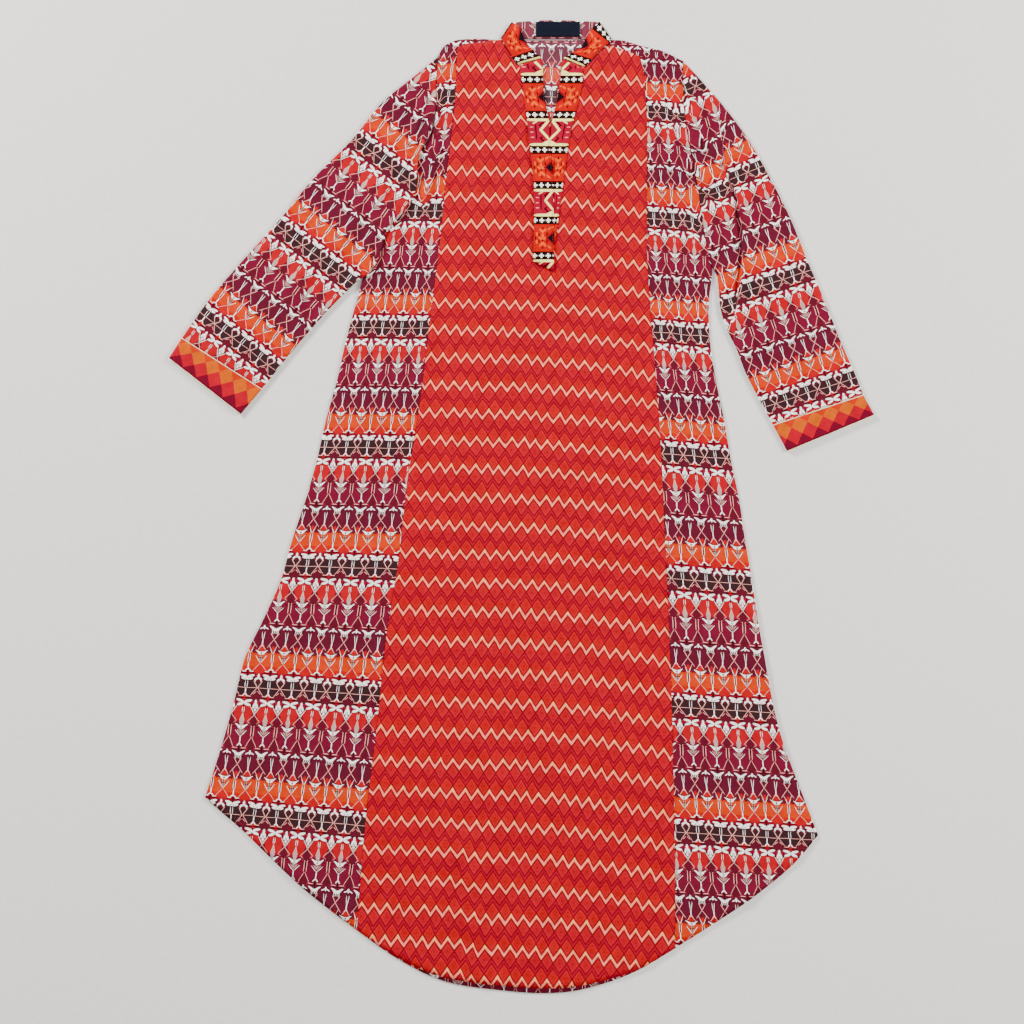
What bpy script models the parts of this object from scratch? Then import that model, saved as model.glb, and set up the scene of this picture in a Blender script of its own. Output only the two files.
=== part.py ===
"""A kurta dress laid flat on a surface, seen from above with its neck towards +Y.

Every cut piece is its own thin wall. The back panel lies on the floor, the three
front panels lie on it, the sleeves are flattened tubes beside and over the body,
and the collar and placket strips lie on top. Metres, +Z up, origin under the middle.
"""

import math

import bmesh
import bpy
import numpy as np

# Driving sizes
WALL = 0.0011
SEAM_GAP = 0.0003
ARMHOLE_GAP = 0.0009
OFFSET_X = 0.00265

BACK_TOP = WALL
FRONT_UNDER = BACK_TOP + SEAM_GAP
FRONT_TOP = FRONT_UNDER + WALL
CROSSING_RISE = WALL + SEAM_GAP

# Half the height of a flattened sleeve where it leaves the armhole and lower down
SLEEVE_HALF_START = 0.0014
SLEEVE_HALF = 0.0020
SLEEVE_FULL_FROM = 0.15
# The left sleeve lies over the body's side from this high
OVERLAP_RISE = FRONT_TOP + SEAM_GAP
OVERLAP_REACH = (0.004, 0.019)
OVERLAP_STARTS = (0.556, 0.522)

LABEL_WALL = 0.0010
LABEL = {"left": 0.0165, "right": 0.0755, "top": 0.6475, "foot": 0.6275}

# The outline, seen from above. Columns: x, y
ARMHOLE_LEFT = (
    (-0.1156, 0.599),
    (-0.1162, 0.563),
    (-0.1169, 0.532),
    (-0.1243, 0.496),
    (-0.137, 0.476),
    (-0.150, 0.450),
    (-0.162, 0.420),
    (-0.178, 0.391),
    (-0.196, 0.361),
    (-0.208, 0.332),
    (-0.2145, 0.305),
)
SIDE_LEFT = (
    (-0.2225, 0.276),
    (-0.237, 0.222),
    (-0.249, 0.169),
    (-0.264, 0.115),
    (-0.276, 0.062),
    (-0.291, 0.009),
    (-0.309, -0.045),
    (-0.324, -0.098),
    (-0.348, -0.152),
    (-0.373, -0.205),
    (-0.386, -0.258),
    (-0.401, -0.312),
    (-0.4255, -0.389),
)
ARMHOLE_RIGHT = (
    (0.2131, 0.595),
    (0.2132, 0.563),
    (0.2145, 0.530),
    (0.2232, 0.476),
    (0.2319, 0.430),
    (0.2365, 0.403),
    (0.2432, 0.356),
    (0.2519, 0.319),
)
SIDE_RIGHT = (
    (0.2478, 0.276),
    (0.2490, 0.222),
    (0.257, 0.169),
    (0.268, 0.115),
    (0.277, 0.062),
    (0.288, 0.009),
    (0.296, -0.045),
    (0.305, -0.098),
    (0.313, -0.152),
    (0.3225, -0.205),
    (0.332, -0.258),
    (0.3455, -0.312),
    (0.365, -0.365),
    (0.3935, -0.439),
)
HEM = (
    (-0.4255, -0.389),
    (-0.379, -0.429),
    (-0.332, -0.475),
    (-0.292, -0.512),
    (-0.2225, -0.566),
    (-0.165, -0.606),
    (-0.112, -0.632),
    (-0.031, -0.646),
    (0.022, -0.650),
    (0.062, -0.648),
    (0.102, -0.639),
    (0.156, -0.618),
    (0.2025, -0.590),
    (0.2625, -0.552),
    (0.316, -0.515),
    (0.363, -0.475),
    (0.3935, -0.439),
)
# The front centre panel ends this far inside the back's hem, within this of its middle
HEM_SHOWS = 0.0065
HEM_SHOWS_WITHIN = 0.06
BACK_SHOULDERS = (
    (-0.1156, 0.599),
    (-0.1045, 0.616),
    (-0.094, 0.6215),
    (-0.072, 0.6245),
    (-0.030, 0.6231),
    (0.040, 0.6229),
    (0.117, 0.6231),
    (0.133, 0.6225),
    (0.156, 0.6155),
    (0.1825, 0.6095),
    (0.2131, 0.595),
)

# Seams between the front centre panel and its side panels. Columns: x, y
SEAM_LEFT = (
    (-0.0888, 0.614),
    (-0.0915, 0.543),
    (-0.102, 0.450),
    (-0.1115, 0.356),
    (-0.125, 0.249),
    (-0.138, 0.142),
    (-0.155, 0.035),
    (-0.167, -0.072),
    (-0.184, -0.178),
    (-0.195, -0.285),
    (-0.208, -0.392),
    (-0.218, -0.499),
    (-0.2225, -0.5655),
)
SEAM_RIGHT = (
    (0.1557, 0.601),
    (0.1597, 0.583),
    (0.1637, 0.543),
    (0.165, 0.436),
    (0.1655, 0.329),
    (0.173, 0.222),
    (0.183, 0.089),
    (0.188, -0.018),
    (0.193, -0.125),
    (0.198, -0.258),
    (0.201, -0.392),
    (0.2025, -0.472),
    (0.2025, -0.5895),
)

# The top edge of the front centre panel: shoulder, round neck and slit. Columns: x, y
FRONT_NECK = (
    (-0.0888, 0.614),
    (-0.072, 0.6185),
    (-0.052, 0.6205),
    (-0.0312, 0.6232),
    (-0.0276, 0.6186),
    (-0.0194, 0.6056),
    (-0.0090, 0.5886),
    (0.0080, 0.5936),
    (0.0240, 0.5980),
    (0.0265, 0.5580),
    (0.0310, 0.5300),
    (0.0362, 0.5110),
    (0.0418, 0.5300),
    (0.0475, 0.5600),
    (0.0520, 0.5978),
    (0.0660, 0.5922),
    (0.0823, 0.5852),
    (0.1028, 0.6075),
    (0.1141, 0.6160),
    (0.1370, 0.6090),
    (0.1557, 0.601),
)

# Sleeves, from below the armhole seam to the cuff seam. Columns: x, y
SLEEVE_LEFT_OUTER = (
    (-0.1515, 0.570),
    (-0.185, 0.543),
    (-0.229, 0.490),
    (-0.2825, 0.436),
    (-0.3255, 0.383),
    (-0.3745, 0.329),
    (-0.420, 0.276),
    (-0.4562, 0.2251),
)
SLEEVE_LEFT_INNER = (
    (-0.1383, 0.473),
    (-0.1436, 0.423),
    (-0.1597, 0.3935),
    (-0.182, 0.367),
    (-0.1905, 0.340),
    (-0.2025, 0.3145),
    (-0.221, 0.301),
    (-0.245, 0.2785),
    (-0.296, 0.2225),
    (-0.3494, 0.1570),
)
SLEEVE_RIGHT_OUTER = (
    (0.236, 0.570),
    (0.273, 0.527),
    (0.296, 0.496),
    (0.332, 0.4335),
    (0.3585, 0.380),
    (0.3775, 0.332),
    (0.400, 0.280),
    (0.4255, 0.216),
    (0.446, 0.169),
    (0.4536, 0.1490),
)
SLEEVE_RIGHT_INNER = (
    (0.2600, 0.304),
    (0.2612, 0.283),
    (0.264, 0.260),
    (0.272, 0.236),
    (0.285, 0.209),
    (0.296, 0.180),
    (0.3095, 0.153),
    (0.3333, 0.1089),
)
CUFF_LEFT_FOOT = ((-0.4736, 0.1984), (-0.3774, 0.1236))
CUFF_RIGHT_FOOT = ((0.3520, 0.0741), (0.4683, 0.1223))

# Each side of the collar band, from the corner where it folds over to its front end.
# Columns: foot x, foot y, top x, top y
COLLAR_LEFT = {
    "corner": (-0.0298, 0.6243, -0.0150, 0.6465),
    "front": (
        (-0.0270, 0.6195, -0.0060, 0.6410),
        (-0.0188, 0.6065, 0.0045, 0.6160),
        (-0.0085, 0.5900, 0.0235, 0.5990),
    ),
}
COLLAR_RIGHT = {
    "corner": (0.1162, 0.6238, 0.1005, 0.6470),
    "front": (
        (0.1135, 0.6180, 0.0885, 0.6350),
        (0.1020, 0.6085, 0.0775, 0.6130),
        (0.0818, 0.5865, 0.0535, 0.5990),
    ),
}
COLLAR_BACK_TOP = 0.6500
COLLAR_BACK_FOOT = 0.6238
COLLAR_FOLD_RADIUS = 0.0007

# Placket strips, from the collar down. Columns: left x, left y, right x, right y
PLACKET_LEFT = (
    (-0.0058, 0.5880, 0.0256, 0.5962),
    (-0.0005, 0.5600, 0.0262, 0.5600),
    (0.0035, 0.5250, 0.0312, 0.5280),
    (0.0053, 0.5110, 0.0345, 0.5130),
    (0.0085, 0.4800, 0.0350, 0.4800),
    (0.0115, 0.4560, 0.0380, 0.4560),
    (0.0140, 0.4290, 0.0395, 0.4290),
    (0.0140, 0.3800, 0.0405, 0.3800),
    (0.0130, 0.3270, 0.0405, 0.3140),
)
PLACKET_RIGHT = (
    (0.0528, 0.5962, 0.0792, 0.5840),
    (0.0480, 0.5600, 0.0785, 0.5620),
    (0.0410, 0.5250, 0.0690, 0.5250),
    (0.0372, 0.5110, 0.0660, 0.5110),
    (0.0330, 0.4800, 0.0595, 0.4800),
    (0.0330, 0.4560, 0.0565, 0.4560),
    (0.0330, 0.4290, 0.0528, 0.4290),
    (0.0330, 0.3800, 0.0461, 0.3800),
    (0.0330, 0.3550, 0.0425, 0.3550),
)

# Soft folds of the front. Columns: x and y of both ends, half width, height
FRONT_FOLDS = (
    (-0.118, -0.640, -0.075, -0.300, 0.022, 0.0028),
    (-0.035, -0.640, -0.020, -0.380, 0.024, 0.0020),
    (0.060, -0.640, 0.045, -0.250, 0.026, 0.0024),
    (0.145, -0.600, 0.120, -0.280, 0.024, 0.0022),
    (-0.120, -0.120, -0.070, 0.180, 0.026, 0.0016),
    (0.105, -0.060, 0.120, 0.250, 0.026, 0.0016),
    (-0.300, -0.480, -0.250, -0.150, 0.024, 0.0024),
    (-0.380, -0.380, -0.310, -0.120, 0.022, 0.0020),
    (-0.225, 0.020, -0.190, 0.170, 0.020, 0.0016),
    (0.290, -0.520, 0.250, -0.180, 0.024, 0.0024),
    (0.355, -0.420, 0.300, -0.150, 0.022, 0.0020),
    (0.235, -0.040, 0.215, 0.160, 0.020, 0.0016),
)
# Folds of the sleeves, with the same columns
SLEEVE_LEFT_FOLDS = (
    (-0.165, 0.500, -0.235, 0.350, 0.016, 0.0020),
    (-0.190, 0.420, -0.330, 0.260, 0.018, 0.0018),
    (-0.300, 0.330, -0.400, 0.230, 0.020, 0.0014),
)
SLEEVE_RIGHT_FOLDS = (
    (0.285, 0.480, 0.300, 0.300, 0.014, 0.0022),
    (0.250, 0.520, 0.290, 0.500, 0.012, 0.0018),
    (0.330, 0.330, 0.380, 0.190, 0.020, 0.0014),
)

# How far down the centre panel its neck edge, its uneven columns and its hem reach, as shares
NECK_FADE_END = 0.22
COLUMNS_EVEN = (0.16, 0.40)
HEM_FADE_START = 0.72
# Points nearer than this are joined where a tube closes
JOIN_WITHIN = 0.00001

# Faces across and along each piece
CENTRE_ROWS = 44
SIDE_COLUMNS = 7
BACK_GRID = (18, 44)
SLEEVE_ACROSS = 13
SLEEVE_ALONG = 20
CUFF_ALONG = 2
EDGE_STEPS = 4
COLLAR_ACROSS = 3
STRIP_ACROSS = 2
COLLAR_BACK_STEPS = 6

COLOURS = {
    "print_maroon": ((0.27, 0.06, 0.08), 0.80),
    "zigzag_red": ((0.68, 0.03, 0.03), 0.78),
    "diamond_orange": ((0.86, 0.20, 0.03), 0.75),
    "border_dark": ((0.32, 0.07, 0.04), 0.80),
    "label_black": ((0.012, 0.013, 0.016), 0.55),
}


def clear_scene():
    for thing in list(bpy.data.objects):
        bpy.data.objects.remove(thing, do_unlink=True)


def make_collection(name):
    collection = bpy.data.collections.new(name)
    bpy.context.scene.collection.children.link(collection)
    return collection


def make_material(name):
    colour, roughness = COLOURS[name]
    material = bpy.data.materials.new(name)
    material.use_nodes = True
    shader = material.node_tree.nodes["Principled BSDF"]
    shader.inputs["Base Color"].default_value = (*colour, 1.0)
    shader.inputs["Roughness"].default_value = roughness
    shader.inputs["Metallic"].default_value = 0.0
    return material


def smooth(value, low, high):
    """0 at low, 1 at high, and an easy S between; low may be the larger."""
    share = min(max((value - low) / (high - low), 0.0), 1.0)
    return share * share * (3.0 - 2.0 * share)


def curve(points):
    """A function of 0 to 1 along a smooth line through the points."""
    points = np.array(points, float)
    lengths = np.linalg.norm(np.diff(points, axis=0), axis=1)
    knots = np.concatenate([[0.0], np.cumsum(lengths)]) / lengths.sum()
    slopes = np.gradient(points, knots, axis=0)

    def at(share):
        i = int(np.clip(np.searchsorted(knots, share) - 1, 0, len(knots) - 2))
        span = knots[i + 1] - knots[i]
        t = (share - knots[i]) / span
        start, end = points[i], points[i + 1]
        rise, fall = slopes[i] * span, slopes[i + 1] * span
        return (
            (2 * t**3 - 3 * t**2 + 1) * start
            + (t**3 - 2 * t**2 + t) * rise
            + (3 * t**2 - 2 * t**3) * end
            + (t**3 - t**2) * fall
        )

    return at


def moved(line, dx, dy=0.0):
    return lambda share: line(share) + np.array((dx, dy))


def patch(top, foot, left, right):
    """A point for u across and v down, inside four lines that meet at the corners."""
    corners = [[top(0.0), top(1.0)], [foot(0.0), foot(1.0)]]

    def at(u, v):
        rows = (1 - v) * top(u) + v * foot(u)
        columns = (1 - u) * left(v) + u * right(v)
        first = (1 - v) * ((1 - u) * corners[0][0] + u * corners[0][1])
        second = v * ((1 - u) * corners[1][0] + u * corners[1][1])
        return rows + columns - first - second

    return at


def fold_height(x, y, folds):
    """The height that soft ridges add at a place."""
    height = 0.0
    for x0, y0, x1, y1, half_width, rise in folds:
        run_x, run_y = x1 - x0, y1 - y0
        along = ((x - x0) * run_x + (y - y0) * run_y) / (run_x**2 + run_y**2)
        along = min(max(along, 0.0), 1.0)
        away = math.hypot(x - x0 - along * run_x, y - y0 - along * run_y)
        height += rise * math.exp(-((away / half_width) ** 2))
    return height


def front_height(x, y):
    return FRONT_TOP + fold_height(x, y, FRONT_FOLDS)


def left_edge_of_body(y):
    """The body's left edge at a height y, from the armhole and side tables."""
    table = np.array(ARMHOLE_LEFT + SIDE_LEFT)[::-1]
    return float(np.interp(y, table[:, 1], table[:, 0]))


def sleeve_rest(x, y):
    """How high the left sleeve's underside lies: on the floor, or over the body."""
    outside = left_edge_of_body(y) - x
    near = smooth(outside, OVERLAP_REACH[1], OVERLAP_REACH[0])
    below_seam = smooth(y, OVERLAP_STARTS[0], OVERLAP_STARTS[1])
    return OVERLAP_RISE * near * below_seam


def floor_rest(x, y):
    return 0.0


def grid_mesh(name, across, along, place, close=False):
    """A grid primitive whose points are placed by u and v, each from 0 to 1."""
    mesh = bpy.data.meshes.new(name)
    bm = bmesh.new()
    bmesh.ops.create_grid(bm, x_segments=across, y_segments=along, size=1.0)
    for point in bm.verts:
        u = round((point.co.x + 1.0) / 2.0 * across) / across
        v = round((1.0 - point.co.y) / 2.0 * along) / along
        x, y, z = place(u, v)
        point.co = (x + OFFSET_X, y, z)
    if close:
        bmesh.ops.remove_doubles(bm, verts=bm.verts, dist=JOIN_WITHIN)
    bm.to_mesh(mesh)
    bm.free()
    return mesh


def make_cloth(name, mesh, collection, material, offset=-1.0, wall=WALL):
    """The wall of one piece: an open surface with a Solidify modifier."""
    piece = bpy.data.objects.new(name, mesh)
    collection.objects.link(piece)
    mesh.materials.append(material)
    thick = piece.modifiers.new("wall", "SOLIDIFY")
    thick.thickness = wall
    thick.offset = offset
    return piece


def add_back(collection, material):
    top = curve(BACK_SHOULDERS)
    foot = curve(HEM)
    left = curve(ARMHOLE_LEFT + SIDE_LEFT)
    right = curve(ARMHOLE_RIGHT + SIDE_RIGHT)
    at = patch(top, foot, left, right)
    mesh = grid_mesh("back_panel", *BACK_GRID, lambda u, v: (*at(u, v), BACK_TOP))
    make_cloth("back_panel", mesh, collection, material)


def hem_between(x_from, x_to, inside):
    """The stretch of the hem between two x, this far inside the back's hem."""
    table = np.array(HEM)
    middle, half = (x_from + x_to) / 2, (x_to - x_from) / 2
    xs = [x_from] + [x for x in table[:, 0] if x_from < x < x_to] + [x_to]
    ys = np.interp(xs, table[:, 0], table[:, 1])
    lifts = [inside * smooth(abs(x - middle), half, HEM_SHOWS_WITHIN) for x in xs]
    return curve([(x, y + lift) for x, y, lift in zip(xs, ys, lifts)])


def add_side(name, seam, edge_points, seam_on_right, collection, material):
    """A front side panel, between a centre seam and the armhole and body's side."""
    edge = curve(edge_points)
    seam_line = moved(curve(seam), (-SEAM_GAP if seam_on_right else SEAM_GAP) / 2)
    left, right = (edge, seam_line) if seam_on_right else (seam_line, edge)
    top = curve((left(0.0), right(0.0)))
    foot = hem_between(left(1.0)[0], right(1.0)[0], 0.0)
    left_end, right_end = left(1.0), right(1.0)
    hem_left, hem_right = foot(0.0), foot(1.0)

    def foot_line(share):
        return foot(share) + (1 - share) * (left_end - hem_left) + share * (right_end - hem_right)

    at = patch(top, foot_line, left, right)

    def place(u, v):
        x, y = at(u, v)
        return x, y, front_height(x, y)

    mesh = grid_mesh(name, SIDE_COLUMNS, CENTRE_ROWS, place)
    make_cloth(name, mesh, collection, material)


def add_centre(collection, material):
    """The front centre panel: straight rows, bent to the neck above and the hem below."""
    left = moved(curve(SEAM_LEFT), SEAM_GAP / 2)
    right = moved(curve(SEAM_RIGHT), -SEAM_GAP / 2)
    neck = np.array(FRONT_NECK)
    neck[0] = left(0.0)
    neck[-1] = right(0.0)
    columns = len(neck) - 1
    neck_share = (neck[:, 0] - neck[0, 0]) / (neck[-1, 0] - neck[0, 0])
    hem = hem_between(left(1.0)[0], right(1.0)[0], HEM_SHOWS)

    def place(u, v):
        column = round(u * columns)
        even = smooth(v, *COLUMNS_EVEN)
        share = (1 - even) * neck_share[column] + even * u
        x, y = (1 - share) * left(v) + share * right(v)
        chord = neck[0, 1] + neck_share[column] * (neck[-1, 1] - neck[0, 1])
        y += (neck[column, 1] - chord) * (1 - smooth(v, 0.0, NECK_FADE_END))
        bottom = hem(share)
        straight = (1 - share) * left(1.0) + share * right(1.0)
        x += (bottom[0] - straight[0]) * smooth(v, HEM_FADE_START, 1.0)
        y += (bottom[1] - straight[1]) * smooth(v, HEM_FADE_START, 1.0)
        return x, y, front_height(x, y)

    mesh = grid_mesh("front_centre_panel", columns, CENTRE_ROWS, place)
    make_cloth("front_centre_panel", mesh, collection, material)


def add_tube(name, at, along, half_height, rest, folds, collection, material):
    """A flattened tube on a patch: its top, a round edge, its underside, a round edge."""
    around = 2 * (SLEEVE_ACROSS + EDGE_STEPS)

    def place(u, v):
        step = round(u * around) % around
        half = half_height(v)
        width = float(np.linalg.norm(at(1.0, v) - at(0.0, v)))
        inset = half / width
        if step <= SLEEVE_ACROSS:
            across, angle = step / SLEEVE_ACROSS, math.pi / 2
        elif step < SLEEVE_ACROSS + EDGE_STEPS:
            across, angle = 1.0, math.pi / 2 - math.pi * (step - SLEEVE_ACROSS) / EDGE_STEPS
        elif step <= 2 * SLEEVE_ACROSS + EDGE_STEPS:
            across, angle = 1 - (step - SLEEVE_ACROSS - EDGE_STEPS) / SLEEVE_ACROSS, -math.pi / 2
        else:
            turn = step - 2 * SLEEVE_ACROSS - EDGE_STEPS
            across, angle = 0.0, -math.pi / 2 + math.pi * turn / EDGE_STEPS
        outward = (2 * across - 1 if across in (0.0, 1.0) else 0.0) * math.cos(angle)
        share = inset + across * (1 - 2 * inset) + outward * inset
        x, y = at(share, v)
        z = rest(x, y) + half + half * math.sin(angle)
        if angle == math.pi / 2:
            z += fold_height(x, y, folds) * math.sin(math.pi * min(max(across, 0.0), 1.0)) ** 0.5
        return x, y, z

    mesh = grid_mesh(name, around, along, place, close=True)
    make_cloth(name, mesh, collection, material)


def sleeve_half_height(v):
    return SLEEVE_HALF_START + (SLEEVE_HALF - SLEEVE_HALF_START) * smooth(v, 0.0, SLEEVE_FULL_FROM)


def add_sleeves(collection, material):
    seam_left = [(x - ARMHOLE_GAP, y) for x, y in ARMHOLE_LEFT[:4]]
    at = patch(
        curve(seam_left),
        curve((SLEEVE_LEFT_OUTER[-1], SLEEVE_LEFT_INNER[-1])),
        curve((seam_left[0], *SLEEVE_LEFT_OUTER)),
        curve((seam_left[-1], *SLEEVE_LEFT_INNER)),
    )
    add_tube("sleeve_left", at, SLEEVE_ALONG, sleeve_half_height, sleeve_rest,
             SLEEVE_LEFT_FOLDS, collection, material)
    seam_right = [(x + ARMHOLE_GAP, y) for x, y in ARMHOLE_RIGHT[::-1]]
    at = patch(
        curve(seam_right),
        curve((SLEEVE_RIGHT_INNER[-1], SLEEVE_RIGHT_OUTER[-1])),
        curve((seam_right[0], *SLEEVE_RIGHT_INNER)),
        curve((seam_right[-1], *SLEEVE_RIGHT_OUTER)),
    )
    add_tube("sleeve_right", at, SLEEVE_ALONG, sleeve_half_height, floor_rest,
             SLEEVE_RIGHT_FOLDS, collection, material)


def add_cuff(name, left_top, right_top, foot, collection, material):
    """A cuff band, a short flattened tube that starts a seam's gap below the sleeve."""
    left_top, right_top = np.array(left_top), np.array(right_top)
    left_foot, right_foot = np.array(foot[0]), np.array(foot[1])
    for corner, end in ((left_top, left_foot), (right_top, right_foot)):
        corner += (end - corner) * SEAM_GAP / np.linalg.norm(end - corner)
    at = patch(
        curve((left_top, right_top)),
        curve((left_foot, right_foot)),
        curve((left_top, left_foot)),
        curve((right_top, right_foot)),
    )
    add_tube(name, at, CUFF_ALONG, lambda v: SLEEVE_HALF, floor_rest, (), collection, material)


def collar_turn(corner, sign, under, over):
    """The rows round the fold at one corner, from the front's layer to the back's."""
    foot_x, foot_y, top_x, top_y = corner
    run = np.array((top_x - foot_x, top_y - foot_y))
    run /= np.linalg.norm(run)
    outward = sign * np.array((run[1], -run[0]))
    rows = []
    for step in range(EDGE_STEPS + 1):
        angle = math.pi / 2 - math.pi * step / EDGE_STEPS
        shift_x, shift_y = outward * COLLAR_FOLD_RADIUS * math.cos(angle)
        z = (under + over) / 2 + (over - under) / 2 * math.sin(angle)
        rows.append((foot_x + shift_x, foot_y + shift_y, top_x + shift_x, top_y + shift_y, z))
    return rows


def collar_rows():
    """Foot and top points of the band, from its left front end over the back to its right."""
    under = BACK_TOP - WALL / 2
    over = FRONT_TOP - WALL / 2
    left, right = COLLAR_LEFT["corner"], COLLAR_RIGHT["corner"]
    rows = [(*row, over) for row in COLLAR_LEFT["front"][::-1]]
    rows += collar_turn(left, -1.0, under, over)
    for step in range(1, COLLAR_BACK_STEPS):
        share = step / COLLAR_BACK_STEPS
        foot_x = left[0] + share * (right[0] - left[0])
        top_x = left[2] + share * (right[2] - left[2])
        corner_top = left[3] + share * (right[3] - left[3])
        top_y = corner_top + (COLLAR_BACK_TOP - corner_top) * math.sin(math.pi * share)
        rows.append((foot_x, COLLAR_BACK_FOOT, top_x, top_y, under))
    rows += collar_turn(right, 1.0, under, over)[::-1]
    rows += [(*row, over) for row in COLLAR_RIGHT["front"]]
    return rows


def add_collar(collection, material):
    rows = collar_rows()
    last = len(rows) - 1

    def place(u, v):
        foot_x, foot_y, top_x, top_y, z = rows[round(u * last)]
        foot_y += SEAM_GAP
        return foot_x + (top_x - foot_x) * (1 - v), foot_y + (top_y - foot_y) * (1 - v), z

    mesh = grid_mesh("collar_band", last, COLLAR_ACROSS, place)
    make_cloth("collar_band", mesh, collection, material, offset=0.0)


def add_strip(name, table, rise, collection, material):
    """A placket strip on the front panel's own height, moved out."""
    table = np.array(table)
    rows = np.arange(len(table)) / (len(table) - 1)

    def place(u, v):
        left_x, left_y, right_x, right_y = (np.interp(v, rows, column) for column in table.T)
        x = left_x + u * (right_x - left_x)
        y = left_y + u * (right_y - left_y)
        return x, y, front_height(x, y) + SEAM_GAP + WALL + rise(y)

    mesh = grid_mesh(name, STRIP_ACROSS, 2 * (len(table) - 1), place)
    make_cloth(name, mesh, collection, material)


def add_plackets(collection, material):
    add_strip("placket_right", PLACKET_RIGHT, lambda y: 0.0, collection, material)
    add_strip(
        "placket_left",
        PLACKET_LEFT,
        lambda y: CROSSING_RISE * smooth(y, 0.530, 0.512),
        collection,
        material,
    )


def add_label(collection, material):
    """The woven neck label, on the inside of the back collar."""
    def place(u, v):
        x = LABEL["left"] + u * (LABEL["right"] - LABEL["left"])
        y = LABEL["top"] + v * (LABEL["foot"] - LABEL["top"])
        return x, y, BACK_TOP + SEAM_GAP + LABEL_WALL

    mesh = grid_mesh("neck_label", 2, 1, place)
    make_cloth("neck_label", mesh, collection, material, wall=LABEL_WALL)


def main():
    clear_scene()
    collection = make_collection("kurta_dress")
    materials = {name: make_material(name) for name in COLOURS}
    printed = materials["print_maroon"]
    add_back(collection, printed)
    add_side("front_side_left", SEAM_LEFT, ARMHOLE_LEFT + SIDE_LEFT, True, collection, printed)
    add_side("front_side_right", SEAM_RIGHT, ARMHOLE_RIGHT + SIDE_RIGHT, False, collection, printed)
    add_centre(collection, materials["zigzag_red"])
    add_sleeves(collection, printed)
    orange = materials["diamond_orange"]
    add_cuff("cuff_left", SLEEVE_LEFT_OUTER[-1], SLEEVE_LEFT_INNER[-1], CUFF_LEFT_FOOT, collection, orange)
    add_cuff("cuff_right", SLEEVE_RIGHT_INNER[-1], SLEEVE_RIGHT_OUTER[-1], CUFF_RIGHT_FOOT, collection, orange)
    add_collar(collection, materials["border_dark"])
    add_plackets(collection, materials["border_dark"])
    add_label(collection, materials["label_black"])


main()
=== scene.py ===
# %% [markdown]
# # A long printed kurta dress, laid flat
# The dress lies on a pale surface and is seen from straight above. Its front is one red
# panel of zigzag rows between two side panels of a banded print. The same banded print
# makes the back and the sleeves. A diamond border makes the cuffs, and another border
# makes the collar and the placket. This file dresses the solid model, the frame, in
# thin cloth with prints, creases, piping and stitches.

# %% Load the frame
import math

import bpy
import numpy as np
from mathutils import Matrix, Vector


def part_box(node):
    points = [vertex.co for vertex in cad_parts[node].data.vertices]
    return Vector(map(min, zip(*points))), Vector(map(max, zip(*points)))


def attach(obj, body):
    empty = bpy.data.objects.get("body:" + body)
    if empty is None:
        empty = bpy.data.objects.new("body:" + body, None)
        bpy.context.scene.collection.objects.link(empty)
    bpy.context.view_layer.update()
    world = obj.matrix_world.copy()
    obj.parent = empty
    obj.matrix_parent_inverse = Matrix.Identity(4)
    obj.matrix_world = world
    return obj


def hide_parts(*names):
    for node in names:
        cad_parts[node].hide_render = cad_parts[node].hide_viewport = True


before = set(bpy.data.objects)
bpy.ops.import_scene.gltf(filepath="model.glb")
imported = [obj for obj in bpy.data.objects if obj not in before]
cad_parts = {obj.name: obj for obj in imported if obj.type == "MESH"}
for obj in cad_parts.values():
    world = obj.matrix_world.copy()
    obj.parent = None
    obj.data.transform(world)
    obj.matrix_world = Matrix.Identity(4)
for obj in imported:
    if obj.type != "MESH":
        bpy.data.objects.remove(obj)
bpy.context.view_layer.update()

# %% [markdown]
# ## The camera
# The photograph looks straight down on the dress. A camera with no turn looks down -Z
# with +Y up in the picture. Its lens follows from how high it stands and how much of
# the surface it has to show, so the picture's scale is a real one.

# %% Camera straight above the dress
CAMERA_HEIGHT = 3.2
VIEW_WIDTH = 1.3682
VIEW_MIDDLE = (-0.0127, -0.0073)
SENSOR = 36.0

camera_data = bpy.data.cameras.new("camera")
camera_data.sensor_width = SENSOR
camera_data.lens = SENSOR * CAMERA_HEIGHT / VIEW_WIDTH
camera_data.clip_end = 50
camera = bpy.data.objects.new("camera", camera_data)
camera.location = (*VIEW_MIDDLE, CAMERA_HEIGHT)
bpy.context.scene.collection.objects.link(camera)
bpy.context.scene.camera = camera
print("lens", round(camera_data.lens, 1), "mm")

# %% [markdown]
# ## Small helpers
# Colours are written as sRGB hex values, the way a designer writes them. Blender's
# shaders work in linear light, so one function turns them. Another adds a shader node,
# sets it and wires it in one line, and short ones for the kinds used most build on it.

# %% Colour and node helpers
def linear(hex_colour):
    """An sRGB hex colour such as C8102E as linear red, green, blue and alpha."""
    parts = [int(hex_colour[i:i + 2], 16) / 255 for i in (0, 2, 4)]
    parts = [p / 12.92 if p <= 0.04045 else ((p + 0.055) / 1.055) ** 2.4 for p in parts]
    return (*parts, 1.0)


def add_node(tree, kind, inputs=None, **settings):
    """A new node with its settings, and its inputs as values or as links."""
    node = tree.nodes.new(kind)
    for name, value in settings.items():
        setattr(node, name, value)
    for socket, value in (inputs or {}).items():
        if isinstance(value, bpy.types.NodeSocket):
            tree.links.new(value, node.inputs[socket])
        else:
            node.inputs[socket].default_value = value
    return node.outputs[0]


def calc(tree, operation, *values):
    """A Math node on up to three values or links."""
    return add_node(tree, "ShaderNodeMath", dict(enumerate(values)), operation=operation)


def vector_calc(tree, operation, *values, **more):
    """A Vector Math node; more holds inputs by name, such as Scale."""
    return add_node(tree, "ShaderNodeVectorMath", {**dict(enumerate(values)), **more}, operation=operation)


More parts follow.
